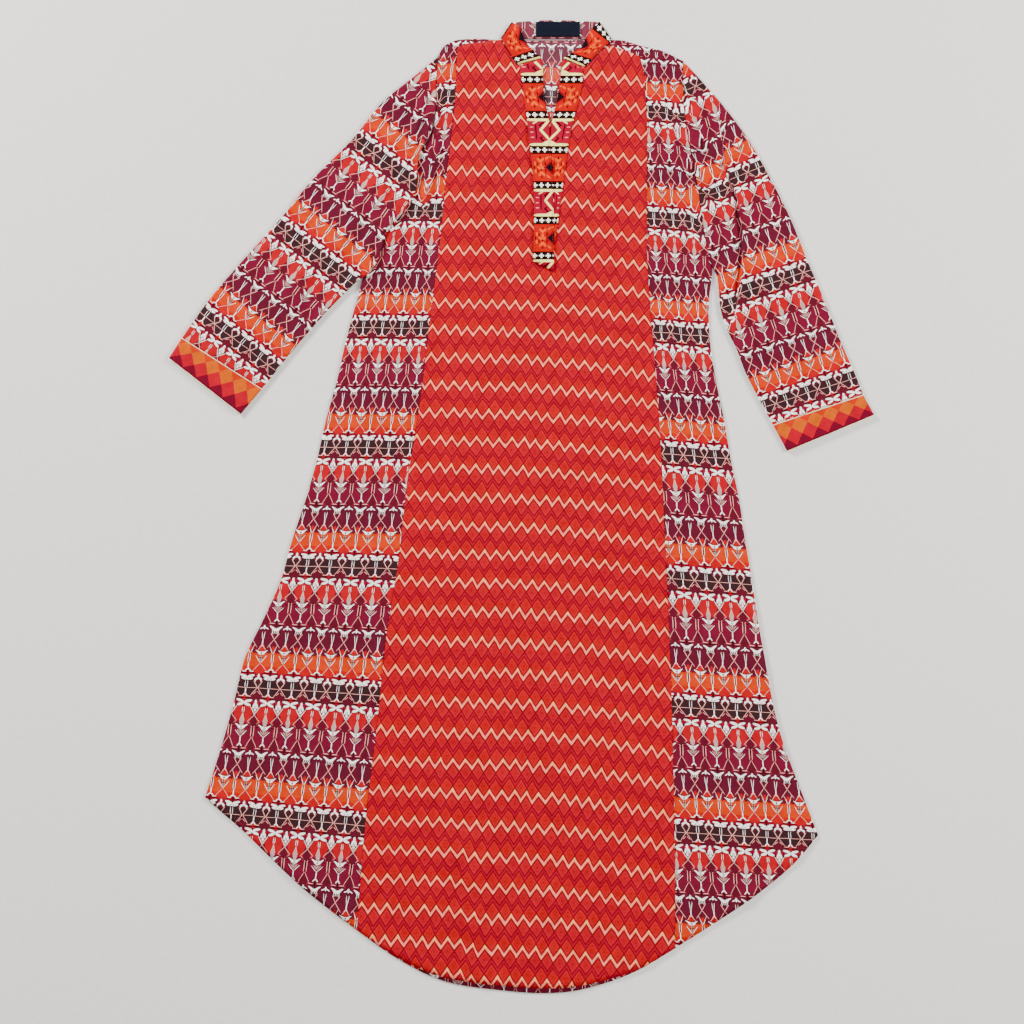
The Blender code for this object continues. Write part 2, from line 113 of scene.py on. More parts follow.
def noise(tree, vector, scale, detail):
    return add_node(tree, "ShaderNodeTexNoise", {"Vector": vector, "Scale": scale, "Detail": detail})


def ranged(tree, value, start, end, low=0.0, high=1.0):
    """The value's way from start to end, as low to high and no further."""
    return add_node(tree, "ShaderNodeMapRange", {"Value": value, "From Min": start, "From Max": end,
                                                 "To Min": low, "To Max": high})


def split(tree, vector):
    """The x and y of a vector."""
    parts = add_node(tree, "ShaderNodeSeparateXYZ", {0: vector}).node
    return parts.outputs["X"], parts.outputs["Y"]


def over(tree, colour, mask, ink):
    """Paint an ink over a colour where the mask is 1."""
    mix = add_node(tree, "ShaderNodeMix", {"Factor": mask, "A": colour, "B": ink}, data_type="RGBA")
    return mix.node.outputs["Result"]


def ramp_colour(tree, share, stops, interpolation="LINEAR"):
    """A colour ramp on a share, from stops: place and hex colour."""
    socket = add_node(tree, "ShaderNodeValToRGB", {"Fac": share})
    ramp = socket.node.color_ramp
    ramp.interpolation = interpolation
    while len(ramp.elements) < len(stops):
        ramp.elements.new(1.0)
    for element, (place, colour) in zip(ramp.elements, stops):
        element.position = place
        element.color = linear(colour)
    return socket


def new_material(name, roughness):
    """A material with its node tree, its shader and a place on the object."""
    material = bpy.data.materials.new(name)
    material.use_nodes = True
    tree = material.node_tree
    shader = tree.nodes["Principled BSDF"]
    shader.inputs["Roughness"].default_value = roughness
    return material, tree, shader, add_node(tree, "ShaderNodeTexCoord").node.outputs["Object"]


# %% [markdown]
# ## The floor and the light
# A studio floor is a plain pale sweep. The photograph is lit softly and nearly flat,
# with the shade of the folds falling to the lower right, so the key light stands low,
# up and to the left. A side light from the right, a broad fill and a broad top light
# soften it.

# %% Floor
FLOOR_SIZE = 9.0
FLOOR_DROP = 0.0004

bpy.ops.object.select_all(action="DESELECT")
bpy.ops.mesh.primitive_plane_add(size=FLOOR_SIZE, location=(0, 0, -FLOOR_DROP))
floor = bpy.context.object
floor.name = "floor"
floor_paint, tree, shader, place = new_material("matt studio paper", 0.9)
# Paper fibre, 6 mm across so that it stays just visible
tone = ramp_colour(tree, noise(tree, place, 160.0, 3.0), [(0.3, "DEDBD4"), (0.7, "E4E1DB")])
tree.links.new(tone, shader.inputs["Base Color"])
floor.data.materials.append(floor_paint)

# %% Lights
LIGHTS = {
    "key": ((-2.6, 2.3, 1.5), 0.8, 290.0),
    "side": ((2.9, 1.0, 1.6), 1.0, 170.0),
    "fill": ((1.0, -2.8, 2.4), 2.4, 34.0),
    "top": ((0.2, -0.3, 4.2), 3.0, 52.0),
}

for name, (location, size, power) in LIGHTS.items():
    light_data = bpy.data.lights.new(name, "AREA")
    light_data.shape = "SQUARE"
    light_data.size = size
    light_data.energy = power
    light = bpy.data.objects.new(name, light_data)
    light.location = location
    distance_flat = math.hypot(location[0], location[1])
    light.rotation_euler = (math.atan2(distance_flat, location[2]), 0, math.atan2(location[0], -location[1]))
    bpy.context.scene.collection.objects.link(light)

world = bpy.data.worlds.new("studio")
world.use_nodes = True
world.node_tree.nodes["Background"].inputs["Color"].default_value = linear("F4F2EE")
world.node_tree.nodes["Background"].inputs["Strength"].default_value = 0.42
bpy.context.scene.world = world
print("lights", ", ".join(LIGHTS))

# %% [markdown]
# ## The shape of the dress, seen from above
# A flat garment is mostly its outline. Each line below has only the points that its
# shape needs, in metres, and a smooth curve runs through them. They are the sizes of
# the solid pieces in the frame, so the cloth lies exactly where the frame lies.

# %% Levels of the layers
OFFSET_X = 0.00265
WALL = 0.0011
SEAM_GAP = 0.0003
BACK_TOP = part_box("back_panel")[1][2]
FRONT_TOP = BACK_TOP + SEAM_GAP + WALL
CROSSING_RISE = WALL + SEAM_GAP
SLEEVE_HALF_START = 0.0014
SLEEVE_HALF = 0.0020
CLOTH = 0.0005
print("back cloth at", round(BACK_TOP * 1000, 2), "mm, front cloth at", round(FRONT_TOP * 1000, 2), "mm")

# %% Outlines
ARMHOLE_LEFT = (
    (-0.1156, 0.599), (-0.1162, 0.563), (-0.1169, 0.532), (-0.1243, 0.496),
    (-0.137, 0.476), (-0.150, 0.450), (-0.162, 0.420), (-0.178, 0.391),
    (-0.196, 0.361), (-0.208, 0.332), (-0.2145, 0.305),
)
SIDE_LEFT = (
    (-0.2225, 0.276), (-0.237, 0.222), (-0.249, 0.169), (-0.264, 0.115), (-0.276, 0.062),
    (-0.291, 0.009), (-0.309, -0.045), (-0.324, -0.098), (-0.348, -0.152),
    (-0.373, -0.205), (-0.386, -0.258), (-0.401, -0.312), (-0.4255, -0.389),
)
ARMHOLE_RIGHT = (
    (0.2131, 0.595), (0.2132, 0.563), (0.2145, 0.530), (0.2232, 0.476),
    (0.2319, 0.430), (0.2365, 0.403), (0.2432, 0.356), (0.2519, 0.319),
)
SIDE_RIGHT = (
    (0.2478, 0.276), (0.2490, 0.222), (0.257, 0.169), (0.268, 0.115), (0.277, 0.062),
    (0.288, 0.009), (0.296, -0.045), (0.305, -0.098), (0.313, -0.152), (0.3225, -0.205),
    (0.332, -0.258), (0.3455, -0.312), (0.365, -0.365), (0.3935, -0.439),
)
HEM = (
    (-0.4255, -0.389), (-0.379, -0.429), (-0.332, -0.475), (-0.292, -0.512),
    (-0.2225, -0.566), (-0.165, -0.606), (-0.112, -0.632), (-0.031, -0.646),
    (0.022, -0.650), (0.062, -0.648), (0.102, -0.639), (0.156, -0.618),
    (0.2025, -0.590), (0.2625, -0.552), (0.316, -0.515), (0.363, -0.475),
    (0.3935, -0.439),
)
HEM_SHOWS = 0.0065
HEM_SHOWS_WITHIN = 0.06
BACK_SHOULDERS = (
    (-0.1156, 0.599), (-0.1045, 0.616), (-0.094, 0.6215), (-0.072, 0.6245),
    (-0.030, 0.6231), (0.040, 0.6229), (0.117, 0.6231), (0.133, 0.6225),
    (0.156, 0.6155), (0.1825, 0.6095), (0.2131, 0.595),
)
SEAM_LEFT = (
    (-0.0888, 0.614), (-0.0915, 0.543), (-0.102, 0.450), (-0.1115, 0.356),
    (-0.125, 0.249), (-0.138, 0.142), (-0.155, 0.035), (-0.167, -0.072),
    (-0.184, -0.178), (-0.195, -0.285), (-0.208, -0.392), (-0.218, -0.499),
    (-0.2225, -0.5655),
)
SEAM_RIGHT = (
    (0.1557, 0.601), (0.1597, 0.583), (0.1637, 0.543), (0.165, 0.436),
    (0.1655, 0.329), (0.173, 0.222), (0.183, 0.089), (0.188, -0.018),
    (0.193, -0.125), (0.198, -0.258), (0.201, -0.392), (0.2025, -0.472),
    (0.2025, -0.5895),
)
FRONT_NECK = (
    (-0.0888, 0.614), (-0.072, 0.6185), (-0.052, 0.6205), (-0.0312, 0.6232),
    (-0.0276, 0.6186), (-0.0194, 0.6056), (-0.0090, 0.5886), (0.0080, 0.5936),
    (0.0240, 0.5980), (0.0265, 0.5580), (0.0310, 0.5300), (0.0362, 0.5110),
    (0.0418, 0.5300), (0.0475, 0.5600), (0.0520, 0.5978), (0.0660, 0.5922),
    (0.0823, 0.5852), (0.1028, 0.6075), (0.1141, 0.6160), (0.1370, 0.6090),
    (0.1557, 0.601),
)

# %% Outlines of the sleeves, cuffs, collar and placket
SLEEVE_LEFT_OUTER = (
    (-0.1515, 0.570), (-0.185, 0.543), (-0.229, 0.490), (-0.2825, 0.436),
    (-0.3255, 0.383), (-0.3745, 0.329), (-0.420, 0.276), (-0.4562, 0.2251),
)
SLEEVE_LEFT_INNER = (
    (-0.1383, 0.473), (-0.1436, 0.423), (-0.1597, 0.3935), (-0.182, 0.367),
    (-0.1905, 0.340), (-0.2025, 0.3145), (-0.221, 0.301), (-0.245, 0.2785),
    (-0.296, 0.2225), (-0.3494, 0.1570),
)
SLEEVE_RIGHT_OUTER = (
    (0.236, 0.570), (0.273, 0.527), (0.296, 0.496), (0.332, 0.4335), (0.3585, 0.380),
    (0.3775, 0.332), (0.400, 0.280), (0.4255, 0.216), (0.446, 0.169), (0.4536, 0.1490),
)
SLEEVE_RIGHT_INNER = (
    (0.2600, 0.304), (0.2612, 0.283), (0.264, 0.260), (0.272, 0.236), (0.285, 0.209),
    (0.296, 0.180), (0.3095, 0.153), (0.3333, 0.1089),
)
CUFF_LEFT_FOOT = ((-0.4736, 0.1984), (-0.3774, 0.1236))
CUFF_RIGHT_FOOT = ((0.3520, 0.0741), (0.4683, 0.1223))
OVERLAP_RISE = FRONT_TOP + SEAM_GAP
OVERLAP_REACH = (0.004, 0.019)
OVERLAP_STARTS = (0.556, 0.522)

# Columns: foot x, foot y, top x, top y
COLLAR_LEFT_CORNER = (-0.0298, 0.6243, -0.0150, 0.6465)
COLLAR_LEFT_FRONT = (
    (-0.0270, 0.6195, -0.0060, 0.6410),
    (-0.0188, 0.6065, 0.0045, 0.6160),
    (-0.0085, 0.5900, 0.0235, 0.5990),
)
COLLAR_RIGHT_CORNER = (0.1162, 0.6238, 0.1005, 0.6470)
COLLAR_RIGHT_FRONT = (
    (0.1135, 0.6180, 0.0885, 0.6350),
    (0.1020, 0.6085, 0.0775, 0.6130),
    (0.0818, 0.5865, 0.0535, 0.5990),
)
COLLAR_BACK_TOP = 0.6500
COLLAR_BACK_FOOT = 0.6238
COLLAR_FOLD_RADIUS = 0.0007
# Columns: left x, left y, right x, right y
PLACKET_LEFT = (
    (-0.0058, 0.5880, 0.0256, 0.5962),
    (-0.0005, 0.5600, 0.0262, 0.5600),
    (0.0035, 0.5250, 0.0312, 0.5280),
    (0.0053, 0.5110, 0.0345, 0.5130),
    (0.0085, 0.4800, 0.0350, 0.4800),
    (0.0115, 0.4560, 0.0380, 0.4560),
    (0.0140, 0.4290, 0.0395, 0.4290),
    (0.0140, 0.3800, 0.0405, 0.3800),
    (0.0130, 0.3270, 0.0405, 0.3140),
)
PLACKET_RIGHT = (
    (0.0528, 0.5962, 0.0792, 0.5840),
    (0.0480, 0.5600, 0.0785, 0.5620),
    (0.0410, 0.5250, 0.0690, 0.5250),
    (0.0372, 0.5110, 0.0660, 0.5110),
    (0.0330, 0.4800, 0.0595, 0.4800),
    (0.0330, 0.4560, 0.0565, 0.4560),
    (0.0330, 0.4290, 0.0528, 0.4290),
    (0.0330, 0.3800, 0.0461, 0.3800),
    (0.0330, 0.3550, 0.0425, 0.3550),
)
LABEL = {"left": 0.0165, "right": 0.0755, "top": 0.6475, "foot": 0.6275}

# %% [markdown]
# ## Curves and patches
# A Hermite curve runs smoothly through a line's points. A patch fills the space inside
# four such lines: it blends the two lines across with the two lines down, which is
# known as a Coons patch. Everything takes whole arrays, so thousands of points of a
# cloth are placed at once.

# %% Curve and patch functions
def smooth(value, low, high):
    """0 at low, 1 at high, and an easy S between; low may be the larger."""
    share = np.clip((value - low) / (high - low), 0.0, 1.0)
    return share * share * (3.0 - 2.0 * share)


def curve(points):
    """A function of 0 to 1 along a smooth line through the points."""
    points = np.array(points, float)
    lengths = np.linalg.norm(np.diff(points, axis=0), axis=1)
    knots = np.concatenate([[0.0], np.cumsum(lengths)]) / lengths.sum()
    slopes = np.gradient(points, knots, axis=0)

    def at(share):
        share = np.asarray(share, float)
        i = np.clip(np.searchsorted(knots, share) - 1, 0, len(knots) - 2)
        span = (knots[i + 1] - knots[i])[..., None]
        t = (share - knots[i])[..., None] / span
        rise, fall = slopes[i] * span, slopes[i + 1] * span
        return (
            (2 * t**3 - 3 * t**2 + 1) * points[i]
            + (t**3 - 2 * t**2 + t) * rise
            + (3 * t**2 - 2 * t**3) * points[i + 1]
            + (t**3 - t**2) * fall
        )

    return at


def moved(line, dx):
    return lambda share: line(share) + np.array((dx, 0.0))


def patch(top, foot, left, right):
    """A point for u across and v down, inside four lines that meet at the corners."""
    def at(u, v):
        u, v = np.broadcast_arrays(np.asarray(u, float), np.asarray(v, float))
        across, down = u[..., None], v[..., None]
        rows = (1 - down) * top(u) + down * foot(u)
        columns = (1 - across) * left(v) + across * right(v)
        first = (1 - down) * ((1 - across) * top(0.0) + across * top(1.0))
        second = down * ((1 - across) * foot(0.0) + across * foot(1.0))
        return rows + columns - first - second

    return at


def steps_with_edges(count, fine):
    """Shares from 0 to 1: even steps with one more close to each end."""
    inner = np.linspace(3 * fine, 1 - 3 * fine, count - 4)
    return np.concatenate([[0.0, fine], inner, [1 - fine, 1.0]])


# %% [markdown]
# ## Creases
# Real cloth that is laid flat keeps long soft folds where it hung, and small crumples
# where a sleeve is pulled round. Each row of a table is one ridge, or a trough where
# its height is negative: where it starts and ends, how wide it is and how high. They
# are uneven in length and spacing. The broad ones are in the frame's
# solids too, and the fine ones are only here.

# %% Crease tables
# Columns: x and y of both ends, half width, height
FRONT_FOLDS = (
    (-0.118, -0.640, -0.075, -0.300, 0.022, 0.0028),
    (-0.035, -0.640, -0.020, -0.380, 0.024, 0.0020),
    (0.060, -0.640, 0.045, -0.250, 0.026, 0.0024),
    (0.145, -0.600, 0.120, -0.280, 0.024, 0.0022),
    (-0.120, -0.120, -0.070, 0.180, 0.026, 0.0016),
    (0.105, -0.060, 0.120, 0.250, 0.026, 0.0016),
    (-0.300, -0.480, -0.250, -0.150, 0.024, 0.0024),
    (-0.380, -0.380, -0.310, -0.120, 0.022, 0.0020),
    (-0.225, 0.020, -0.190, 0.170, 0.020, 0.0016),
    (0.290, -0.520, 0.250, -0.180, 0.024, 0.0024),
    (0.355, -0.420, 0.300, -0.150, 0.022, 0.0020),
    (0.235, -0.040, 0.215, 0.160, 0.020, 0.0016),
)
FRONT_CREASES = (
    (-0.085, -0.560, -0.058, -0.470, 0.006, 0.0022),
    (-0.098, -0.600, -0.072, -0.520, 0.005, -0.0012),
    (-0.030, -0.635, -0.012, -0.560, 0.006, 0.0018),
    (-0.052, -0.630, -0.040, -0.500, 0.008, -0.0010),
    (0.030, -0.600, 0.036, -0.520, 0.007, 0.0010),
    (0.100, -0.560, 0.092, -0.420, 0.008, 0.0010),
    (-0.020, 0.120, -0.050, 0.300, 0.010, 0.0010),
    (0.080, 0.050, 0.060, 0.260, 0.010, 0.0009),
    (0.020, -0.250, 0.012, -0.050, 0.012, 0.0010),
    (-0.070, 0.330, -0.060, 0.520, 0.012, 0.0009),
    (0.125, 0.330, 0.110, 0.500, 0.012, 0.0010),
    (0.140, 0.500, 0.120, 0.570, 0.008, 0.0008),
    (-0.215, -0.250, -0.200, -0.060, 0.006, 0.0014),
    (-0.255, -0.100, -0.235, 0.060, 0.006, 0.0010),
    (-0.330, -0.400, -0.300, -0.260, 0.008, 0.0012),
    (-0.150, 0.180, -0.165, 0.330, 0.006, 0.0010),
    (0.230, -0.330, 0.222, -0.120, 0.006, 0.0012),
    (0.262, -0.180, 0.250, -0.010, 0.007, 0.0010),
    (0.205, 0.120, 0.200, 0.340, 0.006, 0.0012),
    (0.190, 0.400, 0.188, 0.540, 0.006, 0.0010),
    (0.320, -0.440, 0.300, -0.300, 0.007, 0.0010),
    (-0.105, 0.440, -0.118, 0.540, 0.005, 0.0012),
    (-0.100, -0.490, -0.088, -0.630, 0.009, -0.0030),
    (-0.066, -0.450, -0.060, -0.640, 0.010, 0.0028),
    (-0.036, -0.530, -0.024, -0.645, 0.007, -0.0022),
)
SLEEVE_LEFT_FOLDS = (
    (-0.165, 0.500, -0.235, 0.350, 0.016, 0.0020),
    (-0.190, 0.420, -0.330, 0.260, 0.018, 0.0018),
    (-0.300, 0.330, -0.400, 0.230, 0.020, 0.0014),
)
SLEEVE_LEFT_CREASES = (
    (-0.128, 0.560, -0.150, 0.480, 0.005, 0.0024),
    (-0.142, 0.545, -0.170, 0.470, 0.006, -0.0014),
    (-0.150, 0.500, -0.160, 0.430, 0.005, 0.0022),
    (-0.165, 0.470, -0.175, 0.410, 0.005, -0.0012),
    (-0.185, 0.430, -0.205, 0.350, 0.006, 0.0020),
    (-0.205, 0.420, -0.225, 0.340, 0.006, -0.0012),
    (-0.235, 0.400, -0.245, 0.310, 0.007, 0.0012),
    (-0.270, 0.350, -0.300, 0.270, 0.008, 0.0012),
    (-0.330, 0.330, -0.340, 0.250, 0.008, 0.0010),
    (-0.380, 0.300, -0.400, 0.220, 0.008, 0.0010),
)
SLEEVE_RIGHT_FOLDS = (
    (0.285, 0.480, 0.300, 0.300, 0.014, 0.0022),
    (0.250, 0.520, 0.290, 0.500, 0.012, 0.0018),
    (0.330, 0.330, 0.380, 0.190, 0.020, 0.0014),
)
SLEEVE_RIGHT_CREASES = (
    (0.222, 0.575, 0.240, 0.500, 0.006, 0.0022),
    (0.214, 0.586, 0.256, 0.532, 0.006, -0.0024),
    (0.256, 0.532, 0.278, 0.489, 0.007, -0.0028),
    (0.232, 0.500, 0.262, 0.470, 0.005, 0.0024),
    (0.230, 0.480, 0.255, 0.440, 0.005, -0.0018),
    (0.222, 0.530, 0.248, 0.515, 0.005, 0.0020),
    (0.2665, 0.462, 0.2830, 0.412, 0.0024, -0.0030),
    (0.2830, 0.412, 0.2895, 0.369, 0.0024, -0.0036),
    (0.2895, 0.369, 0.2895, 0.3225, 0.0024, -0.0036),
    (0.2895, 0.3225, 0.2840, 0.285, 0.0024, -0.0032),
    (0.240, 0.450, 0.262, 0.430, 0.004, 0.0014),
    (0.246, 0.400, 0.275, 0.380, 0.005, 0.0012),
    (0.300, 0.450, 0.318, 0.400, 0.007, 0.0012),
    (0.320, 0.400, 0.335, 0.320, 0.008, 0.0010),
    (0.300, 0.290, 0.330, 0.200, 0.008, 0.0012),
    (0.360, 0.260, 0.390, 0.190, 0.008, 0.0010),
)
# Crumples where each sleeve is pulled round, over the seam of the armhole
ARMHOLE_CREASES = (
    (-0.112, 0.545, -0.118, 0.490, 0.005, 0.0026),
    (-0.116, 0.485, -0.134, 0.405, 0.006, 0.0034),
    (-0.132, 0.515, -0.138, 0.470, 0.004, -0.0018),
    (-0.104, 0.470, -0.118, 0.425, 0.005, -0.0010),
    (-0.166, 0.392, -0.184, 0.345, 0.005, 0.0022),
    (-0.196, 0.330, -0.214, 0.296, 0.006, 0.0016),
    (0.204, 0.560, 0.226, 0.540, 0.005, -0.0020),
    (0.198, 0.528, 0.224, 0.524, 0.005, 0.0026),
    (0.204, 0.508, 0.236, 0.498, 0.004, -0.0018),
    (0.208, 0.492, 0.240, 0.478, 0.005, 0.0026),
    (0.214, 0.470, 0.238, 0.452, 0.004, -0.0020),
    (0.216, 0.452, 0.246, 0.430, 0.005, 0.0024),
    (0.226, 0.426, 0.252, 0.404, 0.005, -0.0026),
    (0.228, 0.400, 0.238, 0.350, 0.005, 0.0018),
)
# A crumple draws the print in by this many times its height
CRUMPLE_TAKES = 3.2
# The fold line of the right sleeve: the cloth right of it lies on the cloth left of it
SLEEVE_RIGHT_TUCK = ((0.262, 0.505), (0.266, 0.480), (0.270, 0.443), (0.2865, 0.4095),
                     (0.292, 0.369), (0.292, 0.3225), (0.2865, 0.285), (0.282, 0.255))
TUCK_HEIGHT = 0.0030
TUCK_REACH = 0.030
TUCK_TAKES = 0.011
RIPPLE = 0.00030
# The front cloth never sinks lower than this below its flat height, where the back begins
LOWEST_TROUGH = -0.0004
# The flat part round the placket: its middle, its foot and how far it reaches past them
PLACKET_MIDDLE = 0.027
PLACKET_FOOT = 0.30
PLACKET_REACH = (0.06, 0.05)


def ridges(x, y, table):
    """The height that the ridges of a table add at each place."""
    height = np.zeros(np.shape(x))
    for x0, y0, x1, y1, half_width, rise in table:
        run_x, run_y = x1 - x0, y1 - y0
        along = ((x - x0) * run_x + (y - y0) * run_y) / (run_x**2 + run_y**2)
        along = np.clip(along, 0.0, 1.0)
        away = np.hypot(x - x0 - along * run_x, y - y0 - along * run_y)
        height = height + rise * np.exp(-((away / half_width) ** 2))
    return height


def ripple(x, y):
    """A faint unevenness all over, from a few crossing waves of unlike lengths."""
    waves = (
        np.sin(x * 171 + 1.3 * np.sin(y * 23)) + 0.7 * np.sin(x * 97 - y * 31 + 2.0)
        + 0.6 * np.sin(y * 83 + x * 41 + 0.5) + 0.5 * np.sin(x * 260 + y * 57 + 4.0)
    )
    return RIPPLE * waves


def front_height(x, y):
    """The top of the front cloth. The placket is sewn flat, so it has no creases there."""
    beside, below = abs(x - PLACKET_MIDDLE) / PLACKET_REACH[0], np.maximum(PLACKET_FOOT - y, 0) / PLACKET_REACH[1]
    near_placket = smooth(np.hypot(beside, below), 1.0, 0.5)
    fine = (ridges(x, y, FRONT_CREASES) + ridges(x, y, ARMHOLE_CREASES) + ripple(x, y)) * (1 - near_placket)
    raised = ridges(x, y, FRONT_FOLDS)
    return FRONT_TOP + np.maximum(raised + fine, np.minimum(raised, LOWEST_TROUGH))


print(len(FRONT_FOLDS) + len(FRONT_CREASES), "creases on the front")

# %% [markdown]
# ## Laying a piece of cloth
# Every piece starts as Blender's grid primitive. Its points are placed by the piece's
# own function, its UV map takes the print's own coordinates, and a Solidify modifier
# gives the thickness, so that a raw edge has a real thickness to catch the light.

# %% Cloth function
MERGE_WITHIN = 0.00001


def lay_cloth(name, across, along, place, print_at, thickness=CLOTH, closed=False):
    """A grid placed by shares across and along; print_at gives its UV from place's points."""
    bpy.ops.object.select_all(action="DESELECT")
    bpy.ops.mesh.primitive_grid_add(
        x_subdivisions=len(across) - 1, y_subdivisions=len(along) - 1, size=2
    )
    piece = bpy.context.object
    piece.name = piece.data.name = name
    mesh = piece.data
    flat = np.empty(len(mesh.vertices) * 3)
    mesh.vertices.foreach_get("co", flat)
    flat = flat.reshape(-1, 3)
    column = np.rint((flat[:, 0] + 1) / 2 * (len(across) - 1)).astype(int)
    row = np.rint((1 - flat[:, 1]) / 2 * (len(along) - 1)).astype(int)
    u, v = np.asarray(across)[column], np.asarray(along)[row]
    x, y, z = place(u, v, column)
    prints = np.stack(print_at(x, y, u, v), axis=1)
    mesh.vertices.foreach_set("co", np.stack([x + OFFSET_X, y, z], axis=1).ravel())
    corners = np.empty(len(mesh.loops), int)
    mesh.loops.foreach_get("vertex_index", corners)
    uv = mesh.uv_layers[0]
    uv.name = "print"
    uv.data.foreach_set("uv", prints[corners].ravel())
    if closed:
        bpy.ops.object.mode_set(mode="EDIT")
        bpy.ops.mesh.select_all(action="SELECT")
        bpy.ops.mesh.remove_doubles(threshold=MERGE_WITHIN)
        bpy.ops.object.mode_set(mode="OBJECT")
    wall = piece.modifiers.new("cloth", "SOLIDIFY")
    wall.thickness = thickness
    wall.offset = -1.0
    bpy.ops.object.modifier_apply(modifier="cloth")
    bpy.ops.object.shade_smooth()
    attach(piece, "root")
    print(name, len(piece.data.polygons), "faces")
    return piece


# %% [markdown]
# ## Where the prints run
# A print is measured in the cloth's own grain. The zigzag rows are counted down from
# the shoulder, and the banded print is counted in repeats. The spacing grows a little
# towards the hem and the rows drop to the right, as on the real dress, so each table
# gives the height where a row or a repeat falls.

# %% Print coordinates of the body
# Rows of zigzag passing the panel's middle. Columns: y, row
ZIGZAG_ROWS = (
    (0.672, -2.0), (0.590, 0.0), (0.416, 5.0), (0.238, 10.0), (0.053, 15.0),
    (-0.137, 20.0), (-0.340, 25.0), (-0.547, 30.0), (-0.672, 33.0),
)
# Length of one zigzag wave. Columns: y, length
WAVE_LENGTHS = ((-0.60, 0.0168), (-0.23, 0.0164), (0.14, 0.0158), (0.55, 0.0153))
WAVE_AXIS = (-0.047, 0.03)
ROW_DROP_FROM = -0.070
ROW_DROP = 0.41
ROW_LIFT = 0.035
HEM_FOLD_TAKES = 0.009
HEM_FOLD_X = (-0.058, -0.100)
HEM_FOLD_Y = (-0.34, -0.54)
# Repeats of the banded print on each side panel. Columns: y, repeat
BANDS_LEFT = (
    (0.740, -1.0), (0.579, 0.0), (0.427, 1.0), (0.2705, 2.0), (0.110, 3.0),
    (-0.049, 4.0), (-0.216, 5.0), (-0.391, 6.0), (-0.566, 7.0), (-0.740, 8.0),
)
BANDS_RIGHT = (
    (0.690, -1.0), (0.5495, 0.0), (0.4095, 1.0), (0.260, 2.0), (0.0995, 3.0),
    (-0.065, 4.0), (-0.236, 5.0), (-0.403, 6.0), (-0.571, 7.0), (-0.740, 8.0),
)
REPEAT = 0.160
# The motifs stand closer together near the shoulders. Columns: y, metres from one to the next
MOTIF_WIDTH = 0.030
MOTIF_SPACING = ((0.60, 0.0255), (0.25, 0.0256), (0.05, 0.0290), (-0.10, 0.0310), (-0.60, 0.0305))
ORANGE_AT = 0.082
BAND_LEAN = 0.12
# The bands tilt one way below the first of these heights and another way above the second
TILT_CHANGES = (-0.45, 0.10)


def read_table(table, value, column=1):
    table = np.array(sorted(table))
    return np.interp(value, table[:, 0], table[:, column])


def zigzag_print(x, y, u, v):
    """Waves across and rows down, for the centre panel."""
    right = np.maximum(x - ROW_DROP_FROM, 0.0)
    drop = ROW_DROP * right**2 - ROW_LIFT * np.maximum(ROW_DROP_FROM - x, 0.0)
    drop -= HEM_FOLD_TAKES * smooth(x, *HEM_FOLD_X) * smooth(y, *HEM_FOLD_Y)
    rows = read_table(ZIGZAG_ROWS, y + drop)
    axis = WAVE_AXIS[0] + WAVE_AXIS[1] * y
    return (x - axis) / read_table(WAVE_LENGTHS, y), rows


def banded_print(table, tilt_top, tilt_foot, middle, lean, axis, first):
    """Metres across and metres down a repeat of REPEAT, for a side panel or the back.

    A motif stands at first on a line that passes axis and leans; the others are spaced from it.
    """
    def at(x, y, u, v):
        tilt = tilt_foot + (tilt_top - tilt_foot) * smooth(y, *TILT_CHANGES)
        wider = MOTIF_WIDTH / read_table(MOTIF_SPACING, y)
        level = y + tilt * (x - middle) + CRUMPLE_TAKES * ridges(x, y, ARMHOLE_CREASES)
        return (x - axis + lean * y) * wider + first, read_table(table, level) * REPEAT + ORANGE_AT

    return at


left_print = banded_print(BANDS_LEFT, tilt_top=0.01, tilt_foot=0.09, middle=-0.22, lean=-BAND_LEAN,
                          axis=-0.21, first=-0.007)
right_print = banded_print(BANDS_RIGHT, tilt_top=0.08, tilt_foot=0.06, middle=0.23, lean=BAND_LEAN / 2,
                           axis=0.15, first=-0.0103)
back_bands = banded_print(BANDS_RIGHT, tilt_top=0.03, tilt_foot=0.03, middle=0.05, lean=0.0, axis=0.05, first=0.0)
BACK_BANDS_RISE = 0.025


def back_print(x, y, u, v):
    return back_bands(x, y - BACK_BANDS_RISE, u, v)


# %% [markdown]
# ## The back
# The back is one large piece that lies on the floor. Most of it is hidden: it shows in
# the neck opening, as a narrow strip over the shoulders and as a thin line of print
# along the hem, where it is a few millimetres longer than the front.

# %% Back cloth
back_at = patch(curve(BACK_SHOULDERS), curve(HEM), curve(ARMHOLE_LEFT + SIDE_LEFT),
                curve(ARMHOLE_RIGHT + SIDE_RIGHT))


def place_back(u, v, column):
    points = back_at(u, v)
    return points[:, 0], points[:, 1], np.full(len(points), BACK_TOP)


back_cloth = lay_cloth("back_cloth", np.linspace(0, 1, 61), np.linspace(0, 1, 91), place_back, back_print,
                       thickness=BACK_TOP)
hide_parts("back_panel")

# %% [markdown]
# ## The front panels
# The side panels run from the armhole to the hem, and the centre panel from the
# shoulders to the hem with the neck cut out of its top. At a seam each edge rolls down
# a little, which draws the seam as a fine line of shade.

# %% Edges that roll down at a seam or a side
ROLL_DEPTH = 0.0006
ROLL_WIDTH = 0.0022
# A piece's width, about, which turns shares across it into metres
SIDE_WIDTH = 0.12
CENTRE_WIDTH = 0.32


def roll(u, width, reach=ROLL_WIDTH):
    """How far the cloth dips close to its left and right edges."""
    near = np.minimum(u, 1 - u) * width
    return ROLL_DEPTH * (1 - smooth(near, 0.0, reach))


